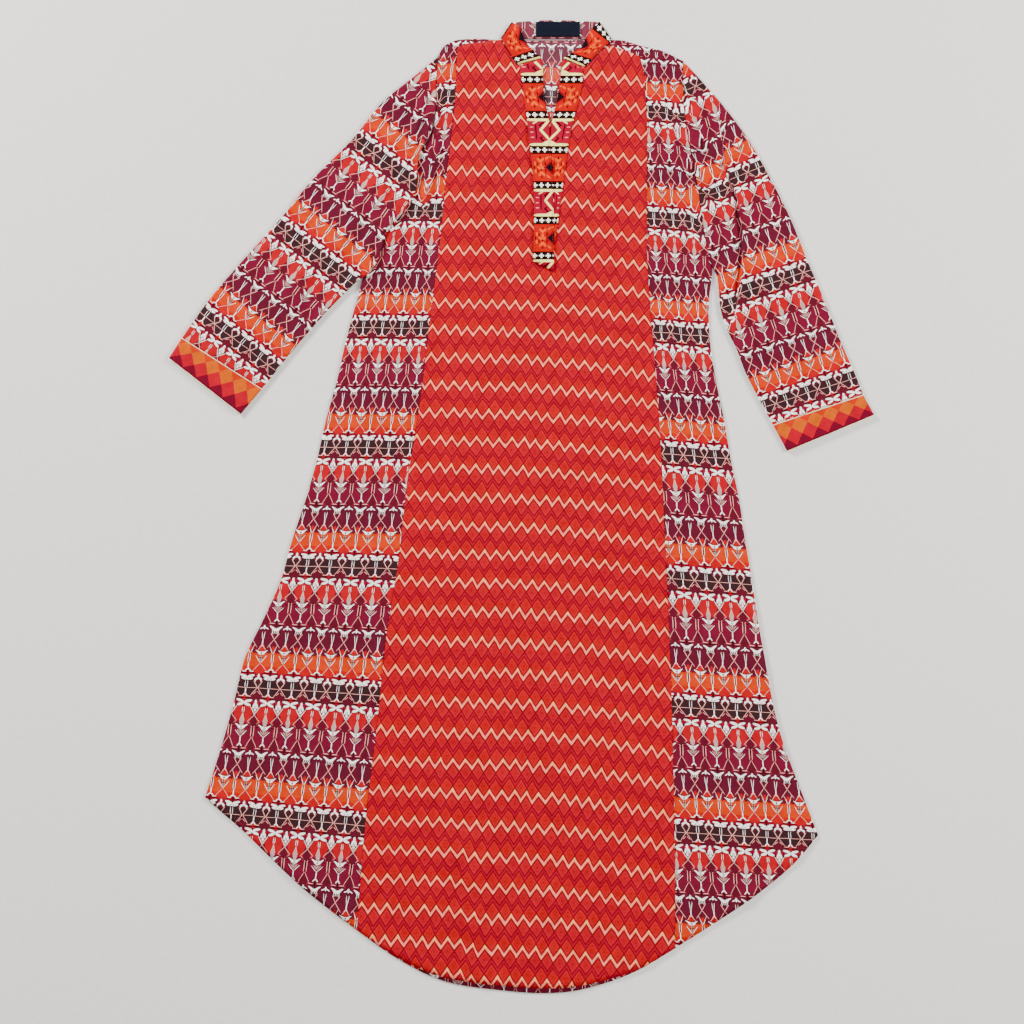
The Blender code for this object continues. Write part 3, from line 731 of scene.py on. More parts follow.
def hem_between(x_from, x_to, inside):
    """The stretch of the hem between two x, this far inside the back's hem."""
    table = np.array(HEM)
    middle, half = (x_from + x_to) / 2, (x_to - x_from) / 2
    xs = np.array([x_from] + [x for x in table[:, 0] if x_from < x < x_to] + [x_to])
    ys = np.interp(xs, table[:, 0], table[:, 1])
    return curve(np.stack([xs, ys + inside * smooth(abs(xs - middle), half, HEM_SHOWS_WITHIN)], axis=1))


# %% Side panels
def lay_side(name, seam, edge_points, seam_on_right, print_at):
    """A side panel between its seam and the edge of the body, whose corners meet the hem."""
    edge = curve(edge_points)
    seam_line = moved(curve(seam), (-SEAM_GAP if seam_on_right else SEAM_GAP) / 2)
    left, right = (edge, seam_line) if seam_on_right else (seam_line, edge)
    hem = hem_between(left(1.0)[0], right(1.0)[0], 0.0)
    left_shift, right_shift = left(1.0) - hem(0.0), right(1.0) - hem(1.0)

    def foot(share):
        share_down = np.asarray(share, float)[..., None]
        return hem(share) + (1 - share_down) * left_shift + share_down * right_shift

    at = patch(curve((left(0.0), right(0.0))), foot, left, right)

    def place(u, v, column):
        points = at(u, v)
        x, y = points[:, 0], points[:, 1]
        return x, y, front_height(x, y) - roll(u, SIDE_WIDTH)

    return lay_cloth(name, steps_with_edges(26, 0.009), np.linspace(0, 1, 171), place, print_at)


side_left = lay_side("side_cloth_left", SEAM_LEFT, ARMHOLE_LEFT + SIDE_LEFT, True, left_print)
side_right = lay_side("side_cloth_right", SEAM_RIGHT, ARMHOLE_RIGHT + SIDE_RIGHT, False, right_print)
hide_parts("front_side_left")
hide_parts("front_side_right")

# %% Centre panel
NECK_FADE_END = 0.22
HEM_FADE_START = 0.72
COLUMNS_EVEN_OUT = (0.16, 0.40)
NECK_STEP = 0.0055
neck_line = np.array(FRONT_NECK)
centre_left = moved(curve(SEAM_LEFT), SEAM_GAP / 2)
centre_right = moved(curve(SEAM_RIGHT), -SEAM_GAP / 2)
neck_line[0], neck_line[-1] = centre_left(0.0), centre_right(0.0)
neck_spans = []
for start, end in zip(neck_line[:-1, 0], neck_line[1:, 0]):
    pieces = max(1, math.ceil((end - start) / NECK_STEP))
    neck_spans += list(start + (end - start) * np.arange(pieces) / pieces)
neck_x = np.array(neck_spans + [neck_line[-1, 0]])
neck_y = np.interp(neck_x, neck_line[:, 0], neck_line[:, 1])
neck_share = (neck_x - neck_x[0]) / (neck_x[-1] - neck_x[0])
centre_columns = steps_with_edges(len(neck_x), 0.004)
centre_hem = hem_between(centre_left(1.0)[0], centre_right(1.0)[0], HEM_SHOWS)


def place_centre(u, v, column):
    """Straight rows, bent to the neck above and to the hem below."""
    even = smooth(v, *COLUMNS_EVEN_OUT)
    share = (1 - even) * neck_share[column] + even * u
    points = (1 - share)[:, None] * centre_left(v) + share[:, None] * centre_right(v)
    chord = neck_y[0] + neck_share[column] * (neck_y[-1] - neck_y[0])
    points[:, 1] += (neck_y[column] - chord) * (1 - smooth(v, 0.0, NECK_FADE_END))
    straight = (1 - share)[:, None] * centre_left(1.0) + share[:, None] * centre_right(1.0)
    points += (centre_hem(share) - straight) * smooth(v, HEM_FADE_START, 1.0)[:, None]
    x, y = points[:, 0], points[:, 1]
    return x, y, front_height(x, y) - roll(share, CENTRE_WIDTH)


centre_cloth = lay_cloth("centre_cloth", centre_columns, np.linspace(0, 1, 201), place_centre, zigzag_print)
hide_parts("front_centre_panel")

# %% [markdown]
# ## The sleeves and cuffs
# A sleeve is a tube that is pressed flat: its top and underside are joined by a tight
# round fold at each edge. The left one crosses over the side of the body, so its
# underside climbs from the floor onto the front. The right one has a tuck below the
# armhole, where the upper cloth lies over the lower.

# %% Sleeve functions
ACROSS = 84
SLEEVE_ROWS = 131
EDGE_STEPS = 6
DEEPEST_GROOVE = -0.0026
ARMHOLE_CLOSED = 0.0002
SLEEVE_FULL_AT = 0.15
TUCK_ENDS = (0.03, 0.02)
TUCK_STEP = (-0.0008, 0.0014)


def ring_steps():
    """Shares across and angles for one turn round a flattened tube, from its left edge."""
    flat = np.linspace(0, 1, ACROSS + 1)
    turn = np.linspace(math.pi / 2, -math.pi / 2, EDGE_STEPS + 1)[1:-1]
    across = np.concatenate([flat, np.ones(len(turn)), flat[::-1], np.zeros(len(turn)), [0.0]])
    angle = np.concatenate([np.full(ACROSS + 1, math.pi / 2), turn, np.full(ACROSS + 1, -math.pi / 2),
                            turn[::-1], [math.pi / 2]])
    outward = np.concatenate([np.zeros(ACROSS + 1), np.ones(len(turn)), np.zeros(ACROSS + 1),
                              -np.ones(len(turn)), [0.0]])
    return across, angle, outward


def left_edge_of_body(y):
    """The x of the body's left edge at each height."""
    table = np.array(ARMHOLE_LEFT + SIDE_LEFT)[::-1]
    return np.interp(y, table[:, 1], table[:, 0])


def over_body(x, y):
    """How high the left sleeve's underside lies: on the floor, or over the body."""
    near = smooth(left_edge_of_body(y) - x, OVERLAP_REACH[1], OVERLAP_REACH[0])
    return OVERLAP_RISE * near * smooth(y, OVERLAP_STARTS[0], OVERLAP_STARTS[1])


def on_floor(x, y):
    return np.zeros(np.shape(x))


def sleeve_half_height(v):
    return SLEEVE_HALF_START + (SLEEVE_HALF - SLEEVE_HALF_START) * smooth(v, 0.0, SLEEVE_FULL_AT)


def lay_tube(name, at, along, half_height, rest, crease, print_at):
    """A flattened tube on a patch, with creases on its upper side."""
    ring_across, ring_angle, ring_outward = ring_steps()

    def place(u, v, column):
        half = half_height(v)
        across, angle = ring_across[column], ring_angle[column]
        width = np.linalg.norm(at(np.ones(len(v)), v) - at(np.zeros(len(v)), v), axis=1)
        inset = half / width
        share = inset + across * (1 - 2 * inset) + ring_outward[column] * np.cos(angle) * inset
        points = at(share, v)
        x, y = points[:, 0], points[:, 1]
        upper = np.where(angle == math.pi / 2, np.sqrt(np.sin(math.pi * across)), 0.0)
        return x, y, rest(x, y) + half * (1 + np.sin(angle)) + crease(x, y) * upper

    steps = np.arange(len(ring_across)) / (len(ring_across) - 1)
    return lay_cloth(name, steps, along, place, print_at, closed=True)


def sleeve_height(x, y, table):
    """What folds, crumples and ripples add to a sleeve's upper side."""
    return np.maximum(ridges(x, y, table + ARMHOLE_CREASES) + ripple(x, y), DEEPEST_GROOVE)


def tuck_side(x, y):
    """How far right of the tuck's fold line a place is."""
    line = np.array(SLEEVE_RIGHT_TUCK)[::-1]
    return x - np.interp(y, line[:, 1], line[:, 0])


def tuck(x, y):
    """The step where the right sleeve's upper cloth lies over its lower cloth."""
    top, foot = SLEEVE_RIGHT_TUCK[0][1], SLEEVE_RIGHT_TUCK[-1][1]
    past = tuck_side(x, y)
    ends = smooth(y, foot, foot + TUCK_ENDS[0]) * smooth(y, top, top - TUCK_ENDS[1])
    return TUCK_HEIGHT * smooth(past, *TUCK_STEP) * np.exp(-np.maximum(past, 0) / TUCK_REACH) * ends


def sleeve_print(start, along, across):
    """The banded print turned to a sleeve: it starts at a point and runs along a direction."""
    def at(x, y, u, v):
        dx, dy = x - start[0], y - start[1] + CRUMPLE_TAKES * ridges(x, y, ARMHOLE_CREASES)
        return dx * across[0] + dy * across[1], dx * along[0] + dy * along[1] + ORANGE_AT

    return at


# %% Left sleeve
SLEEVE_REPEAT = 0.1545
BAND_SHRINK = REPEAT / SLEEVE_REPEAT
LEFT_START = (-0.205, 0.5137)
LEFT_ACROSS = (0.79, -0.61)
seam_left = [(x - ARMHOLE_CLOSED, y) for x, y in ARMHOLE_LEFT[:4]]
sleeve_left_at = patch(
    curve(seam_left),
    curve((SLEEVE_LEFT_OUTER[-1], SLEEVE_LEFT_INNER[-1])),
    curve((seam_left[0], *SLEEVE_LEFT_OUTER)),
    curve((seam_left[-1], *SLEEVE_LEFT_INNER)),
)
left_along = (LEFT_ACROSS[1] * BAND_SHRINK, -LEFT_ACROSS[0] * BAND_SHRINK)
sleeve_left = lay_tube(
    "sleeve_cloth_left", sleeve_left_at, np.linspace(0, 1, SLEEVE_ROWS), sleeve_half_height, over_body,
    lambda x, y: sleeve_height(x, y, SLEEVE_LEFT_FOLDS + SLEEVE_LEFT_CREASES),
    sleeve_print(LEFT_START, left_along, LEFT_ACROSS),
)
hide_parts("sleeve_left")

# %% Right sleeve
RIGHT_START = (0.336, 0.332)
RIGHT_ACROSS = (0.95, 0.31)
STEEPER = 0.16
STEEPER_BETWEEN = (0.36, 0.48)
UNDER_TUCK = (0.0008, -0.0008)

seam_right = [(x + ARMHOLE_CLOSED, y) for x, y in ARMHOLE_RIGHT[::-1]]
sleeve_right_at = patch(
    curve(seam_right),
    curve((SLEEVE_RIGHT_INNER[-1], SLEEVE_RIGHT_OUTER[-1])),
    curve((seam_right[0], *SLEEVE_RIGHT_INNER)),
    curve((seam_right[-1], *SLEEVE_RIGHT_OUTER)),
)


def right_sleeve_print(x, y, u, v):
    """Bands across the right sleeve, steeper near the shoulder."""
    steeper = STEEPER * smooth(y, *STEEPER_BETWEEN)
    y = y + CRUMPLE_TAKES * ridges(x, y, ARMHOLE_CREASES)
    under_tuck = smooth(tuck_side(x, y), *UNDER_TUCK)
    dx, dy = x - RIGHT_START[0], y - RIGHT_START[1]
    along = dx * (RIGHT_ACROSS[1] + steeper) - dy * RIGHT_ACROSS[0] - TUCK_TAKES * under_tuck
    return dx * RIGHT_ACROSS[0] + dy * RIGHT_ACROSS[1], along * BAND_SHRINK + ORANGE_AT


sleeve_right = lay_tube(
    "sleeve_cloth_right", sleeve_right_at, np.linspace(0, 1, SLEEVE_ROWS), sleeve_half_height, on_floor,
    lambda x, y: sleeve_height(x, y, SLEEVE_RIGHT_FOLDS + SLEEVE_RIGHT_CREASES) + tuck(x, y),
    right_sleeve_print,
)
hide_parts("sleeve_right")

# %% Cuffs
def cuff_half_height(v):
    return np.full(len(v), SLEEVE_HALF)


def cuff_patch(left_top, right_top, foot):
    left_top, right_top = np.array(left_top), np.array(right_top)
    left_foot, right_foot = np.array(foot[0]), np.array(foot[1])
    for corner, end in ((left_top, left_foot), (right_top, right_foot)):
        corner += (end - corner) * SEAM_GAP / np.linalg.norm(end - corner)
    return patch(curve((left_top, right_top)), curve((left_foot, right_foot)),
                 curve((left_top, left_foot)), curve((right_top, right_foot)))


def cuff_print(left_top, right_top):
    """Metres along the cuff, and 0 to 1 from its seam to its edge."""
    run = np.array(right_top) - np.array(left_top)
    run = run / np.linalg.norm(run)

    def at(x, y, u, v):
        return (x - left_top[0]) * run[0] + (y - left_top[1]) * run[1], v

    return at


cuff_left_at = cuff_patch(SLEEVE_LEFT_OUTER[-1], SLEEVE_LEFT_INNER[-1], CUFF_LEFT_FOOT)
cuff_right_at = cuff_patch(SLEEVE_RIGHT_INNER[-1], SLEEVE_RIGHT_OUTER[-1], CUFF_RIGHT_FOOT)
cuff_along = np.linspace(0, 1, 13)
cuff_left = lay_tube("cuff_cloth_left", cuff_left_at, cuff_along, cuff_half_height, on_floor, ripple,
                     cuff_print(SLEEVE_LEFT_OUTER[-1], SLEEVE_LEFT_INNER[-1]))
cuff_right = lay_tube("cuff_cloth_right", cuff_right_at, cuff_along, cuff_half_height, on_floor, ripple,
                      cuff_print(SLEEVE_RIGHT_INNER[-1], SLEEVE_RIGHT_OUTER[-1]))
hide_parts("cuff_left")
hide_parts("cuff_right")

# %% [markdown]
# ## The collar
# The stand collar is one long band. Laid flat, its back part lies beyond the shoulders
# with its inside up, and it folds over at both corners so that its front ends come down
# beside the neck with their outside up. Its rows of points are blended between a few
# given rows, so the fold stays tight and the rest stays smooth.

# %% Collar rows
COLLAR_BACK_STEPS = 6
TURN_STEPS = 4


def collar_turn(corner, sign, under, over):
    """Rows of a tight fold at a corner, from over to under; sign is the side it bulges to."""
    foot_x, foot_y, top_x, top_y = corner
    run = np.array((top_x - foot_x, top_y - foot_y))
    run /= np.linalg.norm(run)
    outward = sign * np.array((run[1], -run[0]))
    rows = []
    for step in range(TURN_STEPS + 1):
        angle = math.pi / 2 - math.pi * step / TURN_STEPS
        shift_x, shift_y = outward * COLLAR_FOLD_RADIUS * math.cos(angle)
        z = (under + over) / 2 + (over - under) / 2 * math.sin(angle)
        rows.append((foot_x + shift_x, foot_y + shift_y, top_x + shift_x, top_y + shift_y, z))
    return rows


collar_under = BACK_TOP - WALL / 2
collar_over = FRONT_TOP - WALL / 2
collar_rows = [(*row, collar_over) for row in COLLAR_LEFT_FRONT[::-1]]
collar_rows += collar_turn(COLLAR_LEFT_CORNER, -1.0, collar_under, collar_over)
for step in range(1, COLLAR_BACK_STEPS):
    share = step / COLLAR_BACK_STEPS
    foot_x = COLLAR_LEFT_CORNER[0] + share * (COLLAR_RIGHT_CORNER[0] - COLLAR_LEFT_CORNER[0])
    top_x = COLLAR_LEFT_CORNER[2] + share * (COLLAR_RIGHT_CORNER[2] - COLLAR_LEFT_CORNER[2])
    corner_top = COLLAR_LEFT_CORNER[3] + share * (COLLAR_RIGHT_CORNER[3] - COLLAR_LEFT_CORNER[3])
    top_y = corner_top + (COLLAR_BACK_TOP - corner_top) * math.sin(math.pi * share)
    collar_rows.append((foot_x, COLLAR_BACK_FOOT, top_x, top_y, collar_under))
collar_rows += collar_turn(COLLAR_RIGHT_CORNER, 1.0, collar_under, collar_over)[::-1]
collar_rows += [(*row, collar_over) for row in COLLAR_RIGHT_FRONT]
collar_rows = np.array(collar_rows)
print(len(collar_rows), "rows in the collar")

# %% Collar cloth
COLLAR_FINER = 5
collar_knots = np.arange(len(collar_rows))
collar_steps = np.linspace(0, 1, COLLAR_FINER * (len(collar_rows) - 1) + 1)
front_rows = len(COLLAR_LEFT_FRONT) + TURN_STEPS // 2
middle_row = (collar_rows[:, :2] + collar_rows[:, 2:4]) / 2
collar_lengths = np.concatenate([[0], np.cumsum(np.linalg.norm(np.diff(middle_row, axis=0), axis=1))])
SECTION = 0.0481
COLLAR_FIRST_BAND = 0.008
COLLAR_FIRST_SECTION = 6.0
COLLAR_PUFF = 0.0007
OUTSIDE_HEIGHT = 0.028
INSIDE_HEIGHT = 0.030
FOOT_MARGIN = 0.002


def place_collar(u, v, column):
    at = u * (len(collar_rows) - 1)
    foot_x, foot_y, top_x, top_y, z = (np.interp(at, collar_knots, collar_rows[:, i]) for i in range(5))
    foot_y = foot_y + SEAM_GAP
    puff = COLLAR_PUFF * np.sin(math.pi * v) * smooth(z, collar_under, collar_over)
    return foot_x + (top_x - foot_x) * (1 - v), foot_y + (top_y - foot_y) * (1 - v), z + CLOTH / 2 + puff


def collar_print(x, y, u, v):
    """Metres across the band and sections from each front end; on the back, metres both ways."""
    at = u * (len(collar_rows) - 1)
    length = np.interp(at, collar_knots, collar_lengths)
    from_end = np.minimum(length, collar_lengths[-1] - length)
    outside = COLLAR_FIRST_SECTION + (from_end - COLLAR_FIRST_BAND) / SECTION
    on_back = (at > front_rows - 0.5) & (at < len(collar_rows) - 0.5 - front_rows)
    across = np.where(on_back, x, FOOT_MARGIN + v * OUTSIDE_HEIGHT)
    return across, np.where(on_back, v * INSIDE_HEIGHT + FOOT_MARGIN, outside)


collar_cloth = lay_cloth("collar_cloth", collar_steps, np.linspace(0, 1, 9), place_collar, collar_print)
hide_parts("collar_band")

# %% [markdown]
# ## The placket and the label
# Two strips of the border print run down the sides of the neck slit, and the left one
# crosses over the right one below it. They lie on the front, so they take its height
# and are raised from it. The woven label lies on the inside of the back collar, bare.

# %% Placket strips
PLACKET_BAND = (0.3347, 0.04705)
STRIP_WIDTH = 0.0265
SLIT_GAP = 0.0015
STRIP_CLOTH = 0.0009
# The width, about, and the reach of the roll at a strip's edges
STRIP_ROLL = (0.027, 0.0015)
# The heights between which the left strip climbs onto the right one
CROSSING = (0.530, 0.512)


def left_rise(y):
    return CROSSING_RISE * smooth(y, *CROSSING)


def right_rise(y):
    return 0.0


def placket_print(slit_on_right):
    """Metres from the slit, and sections counted up from the first band."""
    def at(x, y, u, v):
        from_slit = SLIT_GAP + STRIP_WIDTH * (1 - u if slit_on_right else u)
        return from_slit, (y - PLACKET_BAND[0]) / PLACKET_BAND[1]

    return at


def lay_strip(name, table, rise, slit_on_right):
    """A placket strip through a table's rows, raised over the front by rise."""
    table = np.array(table)
    rows = np.arange(len(table)) / (len(table) - 1)

    def place(u, v, column):
        left_x, left_y, right_x, right_y = (np.interp(v, rows, line) for line in table.T)
        x = left_x + u * (right_x - left_x)
        y = left_y + u * (right_y - left_y)
        return x, y, front_height(x, y) + SEAM_GAP + WALL + rise(y) - roll(u, *STRIP_ROLL)

    return lay_cloth(name, np.linspace(0, 1, 25), np.linspace(0, 1, 8 * (len(table) - 1) + 1), place,
                     placket_print(slit_on_right), thickness=STRIP_CLOTH)


placket_right = lay_strip("placket_cloth_right", PLACKET_RIGHT, right_rise, False)
placket_left = lay_strip("placket_cloth_left", PLACKET_LEFT, left_rise, True)
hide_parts("placket_left")
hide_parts("placket_right")

# %% Neck label
LABEL_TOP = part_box("neck_label")[1][2]
LABEL_BELLY = 0.0003
LABEL_CLOTH = 0.0008


def place_label(u, v, column):
    x = LABEL["left"] + u * (LABEL["right"] - LABEL["left"])
    y = LABEL["top"] + v * (LABEL["foot"] - LABEL["top"])
    belly = LABEL_BELLY * np.sin(math.pi * u) * np.sin(math.pi * v)
    return x, y, LABEL_TOP + belly


label_cloth = lay_cloth("label_cloth", np.linspace(0, 1, 25), np.linspace(0, 1, 11), place_label,
                        lambda x, y, u, v: (x, y), thickness=LABEL_CLOTH)
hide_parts("neck_label")

# %% [markdown]
# ## Piping and stitches
# A fine pale piping is caught in each cuff's seam and runs round its lower edge. It is
# modelled as a thin tube along a line of points. Stitches are small spindles set along
# the hem and the placket, each with only eight faces, because there are hundreds.

# %% Piping
PIPING_RADIUS = 0.0006
# Shares down a cuff; the edge piping lies just past it
PIPING_AT = {"seam": 0.0, "edge": 1.014}


def pipe(name, points):
    """A closed thin round cord through the points, turned into a mesh."""
    line = bpy.data.curves.new(name, "CURVE")
    line.dimensions = "3D"
    line.bevel_depth = PIPING_RADIUS
    line.bevel_resolution = 1
    spline = line.splines.new("POLY")
    spline.points.add(len(points) - 1)
    spline.use_cyclic_u = True
    for point, place in zip(spline.points, points):
        point.co = (place[0] + OFFSET_X, place[1], place[2], 1.0)
    cord = bpy.data.objects.new(name, line)
    bpy.context.scene.collection.objects.link(cord)
    bpy.ops.object.select_all(action="DESELECT")
    cord.select_set(True)
    bpy.context.view_layer.objects.active = cord
    bpy.ops.object.convert(target="MESH")
    cord = bpy.context.object
    bpy.ops.object.shade_smooth()
    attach(cord, "root")
    return cord


def ring_line(at, v, half):
    """The line round a flattened tube at one height along it."""
    across, angle, outward = ring_steps()
    inset = half / np.linalg.norm(at(1.0, v) - at(0.0, v))
    share = inset + across * (1 - 2 * inset) + outward * np.cos(angle) * inset
    points = at(share, np.full(len(share), v))
    z = half * (1 + np.sin(angle))
    return np.column_stack([points, np.maximum(z, PIPING_RADIUS)])[:-1]


pipings = []
for side, at in (("left", cuff_left_at), ("right", cuff_right_at)):
    for where, v in PIPING_AT.items():
        pipings.append(pipe(f"cuff_piping_{side}_{where}", ring_line(at, v, SLEEVE_HALF)))
print(len(pipings), "pipings")

# %% Stitches
STITCH = 0.0026
STITCH_GAP = 0.0012
STITCH_RADIUS = 0.00028
STITCH_LIFT = 0.0001


def stitch_row(name, points):
    """Small spindles along a line of points, all in one mesh."""
    points = np.array(points)
    lengths = np.concatenate([[0], np.cumsum(np.linalg.norm(np.diff(points, axis=0), axis=1))])
    starts = np.arange(0, lengths[-1] - STITCH, STITCH + STITCH_GAP)
    vertices, faces = [], []
    for start in starts:
        ends = [np.array([np.interp(s, lengths, points[:, i]) for i in range(3)]) for s in (start, start + STITCH)]
        run = (ends[1] - ends[0]) / np.linalg.norm(ends[1] - ends[0])
        side = np.array((-run[1], run[0], 0.0))
        middle = (ends[0] + ends[1]) / 2 + np.array((0, 0, STITCH_RADIUS * 0.6))
        first = len(vertices)
        waist = [side, (0, 0, 1), -side, (0, 0, -1)]
        vertices += [ends[0], *(middle + np.array(way) * STITCH_RADIUS for way in waist), ends[1]]
        for i in range(4):
            here, after = first + 1 + i, first + 1 + (i + 1) % 4
            faces += [(first, after, here), (first + 5, here, after)]
    mesh = bpy.data.meshes.new(name)
    mesh.from_pydata([(x + OFFSET_X, y, z) for x, y, z in vertices], [], faces)
    row = bpy.data.objects.new(name, mesh)
    bpy.context.scene.collection.objects.link(row)
    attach(row, "root")
    return row


def on_front(x, y):
    return np.column_stack([x, y, front_height(x, y) + STITCH_LIFT])


HEM_STITCH_IN = 0.0065
SIDE_STITCH_IN = 0.006
hem_share = np.linspace(0.004, 0.996, 160)
centre_run = centre_hem(hem_share)
stitches = [stitch_row("hem_stitches_centre", on_front(centre_run[:, 0], centre_run[:, 1] + HEM_STITCH_IN))]
for name, seam, edge in (("left", SEAM_LEFT, SIDE_LEFT), ("right", SEAM_RIGHT, SIDE_RIGHT)):
    ends = sorted((seam[-1][0], edge[-1][0]))
    run = hem_between(ends[0] + SIDE_STITCH_IN, ends[1] - SIDE_STITCH_IN, 0.0)(hem_share)
    stitches.append(stitch_row(f"hem_stitches_{name}", on_front(run[:, 0], run[:, 1] + HEM_STITCH_IN)))


def strip_line(table, share, inset, rise):
    """A line down a placket strip, at a share across it and in from that edge."""
    table = np.array(table)
    rows = np.linspace(0, len(table) - 1, 60)
    left_x, left_y, right_x, right_y = (np.interp(rows, np.arange(len(table)), line) for line in table.T)
    x = left_x + share * (right_x - left_x) + inset
    y = left_y + share * (right_y - left_y)
    return np.column_stack([x, y, front_height(x, y) + SEAM_GAP + WALL + rise(y) + STITCH_LIFT])


STRIP_STITCH_IN = 0.0016
for name, table, share, inset, rise in (
    ("left", PLACKET_LEFT, 0.0, STRIP_STITCH_IN, left_rise),
    ("slit", PLACKET_LEFT, 1.0, -STRIP_STITCH_IN, left_rise),
    ("right", PLACKET_RIGHT, 1.0, -STRIP_STITCH_IN, right_rise),
):
    stitches.append(stitch_row(f"placket_stitches_{name}", strip_line(table, share, inset, rise)))
print(len(stitches), "rows of stitches")

# %% [markdown]
# ## Printed viscose
# All the cloth of this dress is printed viscose: a matt, soft plain weave with a faint
# sheen and a slightly crinkled hand. One function gives that hand to every print: the
# ink's small unevenness, the weave and the crinkle. The threads are 0.3 mm apart in
# the real cloth, too fine to show, so the weave is drawn at 0.9 mm.

# %% Cloth finish
WEAVE = 0.0009
CLOTH_ROUGHNESS = 0.82
INK_UNEVEN = (0.86, 1.10)


def cloth_material(name, colour_of, roughness=CLOTH_ROUGHNESS):
    """A printed viscose: colour_of draws the print and returns its colour socket."""
    material, tree, shader, here = new_material(name, roughness)
    colour = colour_of(tree, add_node(tree, "ShaderNodeUVMap", uv_map="print"))
    # Ink that took a little unevenly, in patches 12 mm across
    ink = ranged(tree, noise(tree, here, 85.0, 4.0), 0.3, 0.7, *INK_UNEVEN)
    colour = vector_calc(tree, "SCALE", colour, Scale=ink)
    tree.links.new(colour, shader.inputs["Base Color"])
    # Weave, and a crinkle of 5 mm
    warp, weft = (add_node(tree, "ShaderNodeTexWave", {"Vector": here, "Scale": 1 / WEAVE / 20 * math.pi},
                           bands_direction=way).node.outputs["Fac"] for way in "XY")
    weave = calc(tree, "ADD", warp, weft)
    height = calc(tree, "MULTIPLY_ADD", noise(tree, here, 210.0, 3.0), 4.0, weave)
    bump = add_node(tree, "ShaderNodeBump", {"Height": height, "Distance": 0.00018, "Strength": 0.55})
    tree.links.new(bump, shader.inputs["Normal"])
    for name, value in (("Specular IOR Level", 0.05), ("Sheen Weight", 0.01), ("Sheen Roughness", 0.5)):
        shader.inputs[name].default_value = value
    return material


# %% [markdown]
# ## The zigzag print
# The UV map of the centre panel counts waves across and rows down, so the pattern is
# drawn in whole numbers. A ping-pong of the waves gives a triangle wave, and the
# distance to it draws the pale zigzag. Between two zigzags lie two rows of diamonds,
# one under the peaks and one over the troughs, each with a darker ring in it.

# %% Zigzag and diamond nodes
ZIGZAG_SWING = 0.30
ZIGZAG_HALF = 0.060
DIAMOND_SCALE = 0.7
UPPER_DIAMONDS = (0.27, 0.30)
LOWER_DIAMONDS = (0.735, 0.31)
# Inks from a diamond's middle to its outline and past it, at each of the stops
DIAMOND_STOPS = (0.0, 0.10, 0.20, 0.31, 0.42, 0.62, 0.67, 0.74, 0.80, 1.0)
UPPER_INKS = ("C00614", "7A0012", "BC061C", "940016", "B4061A", "A8021A", "6A0416", "6A0416", "9A0022", "980022")
LOWER_INKS = ("C40A0C", "82000E", "C2080E", "940010", "B80613", "AC0416", "6C0414", "6C0414", "A2001C", "A0001C")
LINE_EDGE = 0.014
# How far the print wanders, in waves and in rows
ZIGZAG_WANDER = (0.4, -0.18)
# The brown shade beside a line: from and to a distance, as these strengths
BROWN_SHADE = (0.150, 0.075, 0.0, 0.75)


def zigzag_colours(tree, uv):
    waves, rows = split(tree, uv)
    # A little wander, so the print isn't ruled
    wander = noise(tree, uv, 0.55, 3.0)
    waves = calc(tree, "MULTIPLY_ADD", wander, ZIGZAG_WANDER[0], waves)
    rows = calc(tree, "MULTIPLY_ADD", wander, ZIGZAG_WANDER[1], rows)
    half_wave = calc(tree, "PINGPONG", waves, 0.5)
    peak = calc(tree, "MULTIPLY", half_wave, 2.0)
    trough = calc(tree, "SUBTRACT", 1.0, peak)
    lowered = calc(tree, "MULTIPLY_ADD", trough, ZIGZAG_SWING, rows)
    lowered = calc(tree, "SUBTRACT", lowered, ZIGZAG_SWING / 2)
    away = calc(tree, "PINGPONG", lowered, 0.5)
    row = calc(tree, "FRACT", rows)
    sizes = []
    for (middle, half), side in ((UPPER_DIAMONDS, peak), (LOWER_DIAMONDS, trough)):
        fall = calc(tree, "SUBTRACT", row, middle)
        fall = calc(tree, "ABSOLUTE", fall)
        sizes.append(calc(tree, "MULTIPLY_ADD", fall, 1 / half, side))
    upper, lower = sizes
    nearest = calc(tree, "MINIMUM", upper, lower)
    nearest = calc(tree, "MULTIPLY", nearest, DIAMOND_SCALE)
    upper_colour, lower_colour = (ramp_colour(tree, nearest, list(zip(DIAMOND_STOPS, inks)))
                                  for inks in (UPPER_INKS, LOWER_INKS))
    in_lower = calc(tree, "LESS_THAN", lower, upper)
    ground = over(tree, upper_colour, in_lower, lower_colour)
    # A thin brown shade along both sides of the pale line, deeper where it bends
    shaded = over(tree, ground, ranged(tree, away, *BROWN_SHADE), linear("6C1C04"))
    line_colour = ramp_colour(tree, peak, [(0.0, "FFA468"), (0.4, "FF705C"), (1.0, "FF8470")])
    line = ranged(tree, away, ZIGZAG_HALF + LINE_EDGE, ZIGZAG_HALF - LINE_EDGE)
    return over(tree, shaded, line, line_colour)


zigzag_viscose = cloth_material("zigzag printed viscose", zigzag_colours)

# %% [markdown]
# ## The banded print
# This print repeats every 160 mm down and mirrors every 15 mm across, so only one
# half of one motif has to be drawn. Each stroke of the linework is a row of a table: two
# ends and a half width in millimetres. A stroke is a long ellipse, found with two dot
# products, one along it and one across it, so a table of strokes costs little.

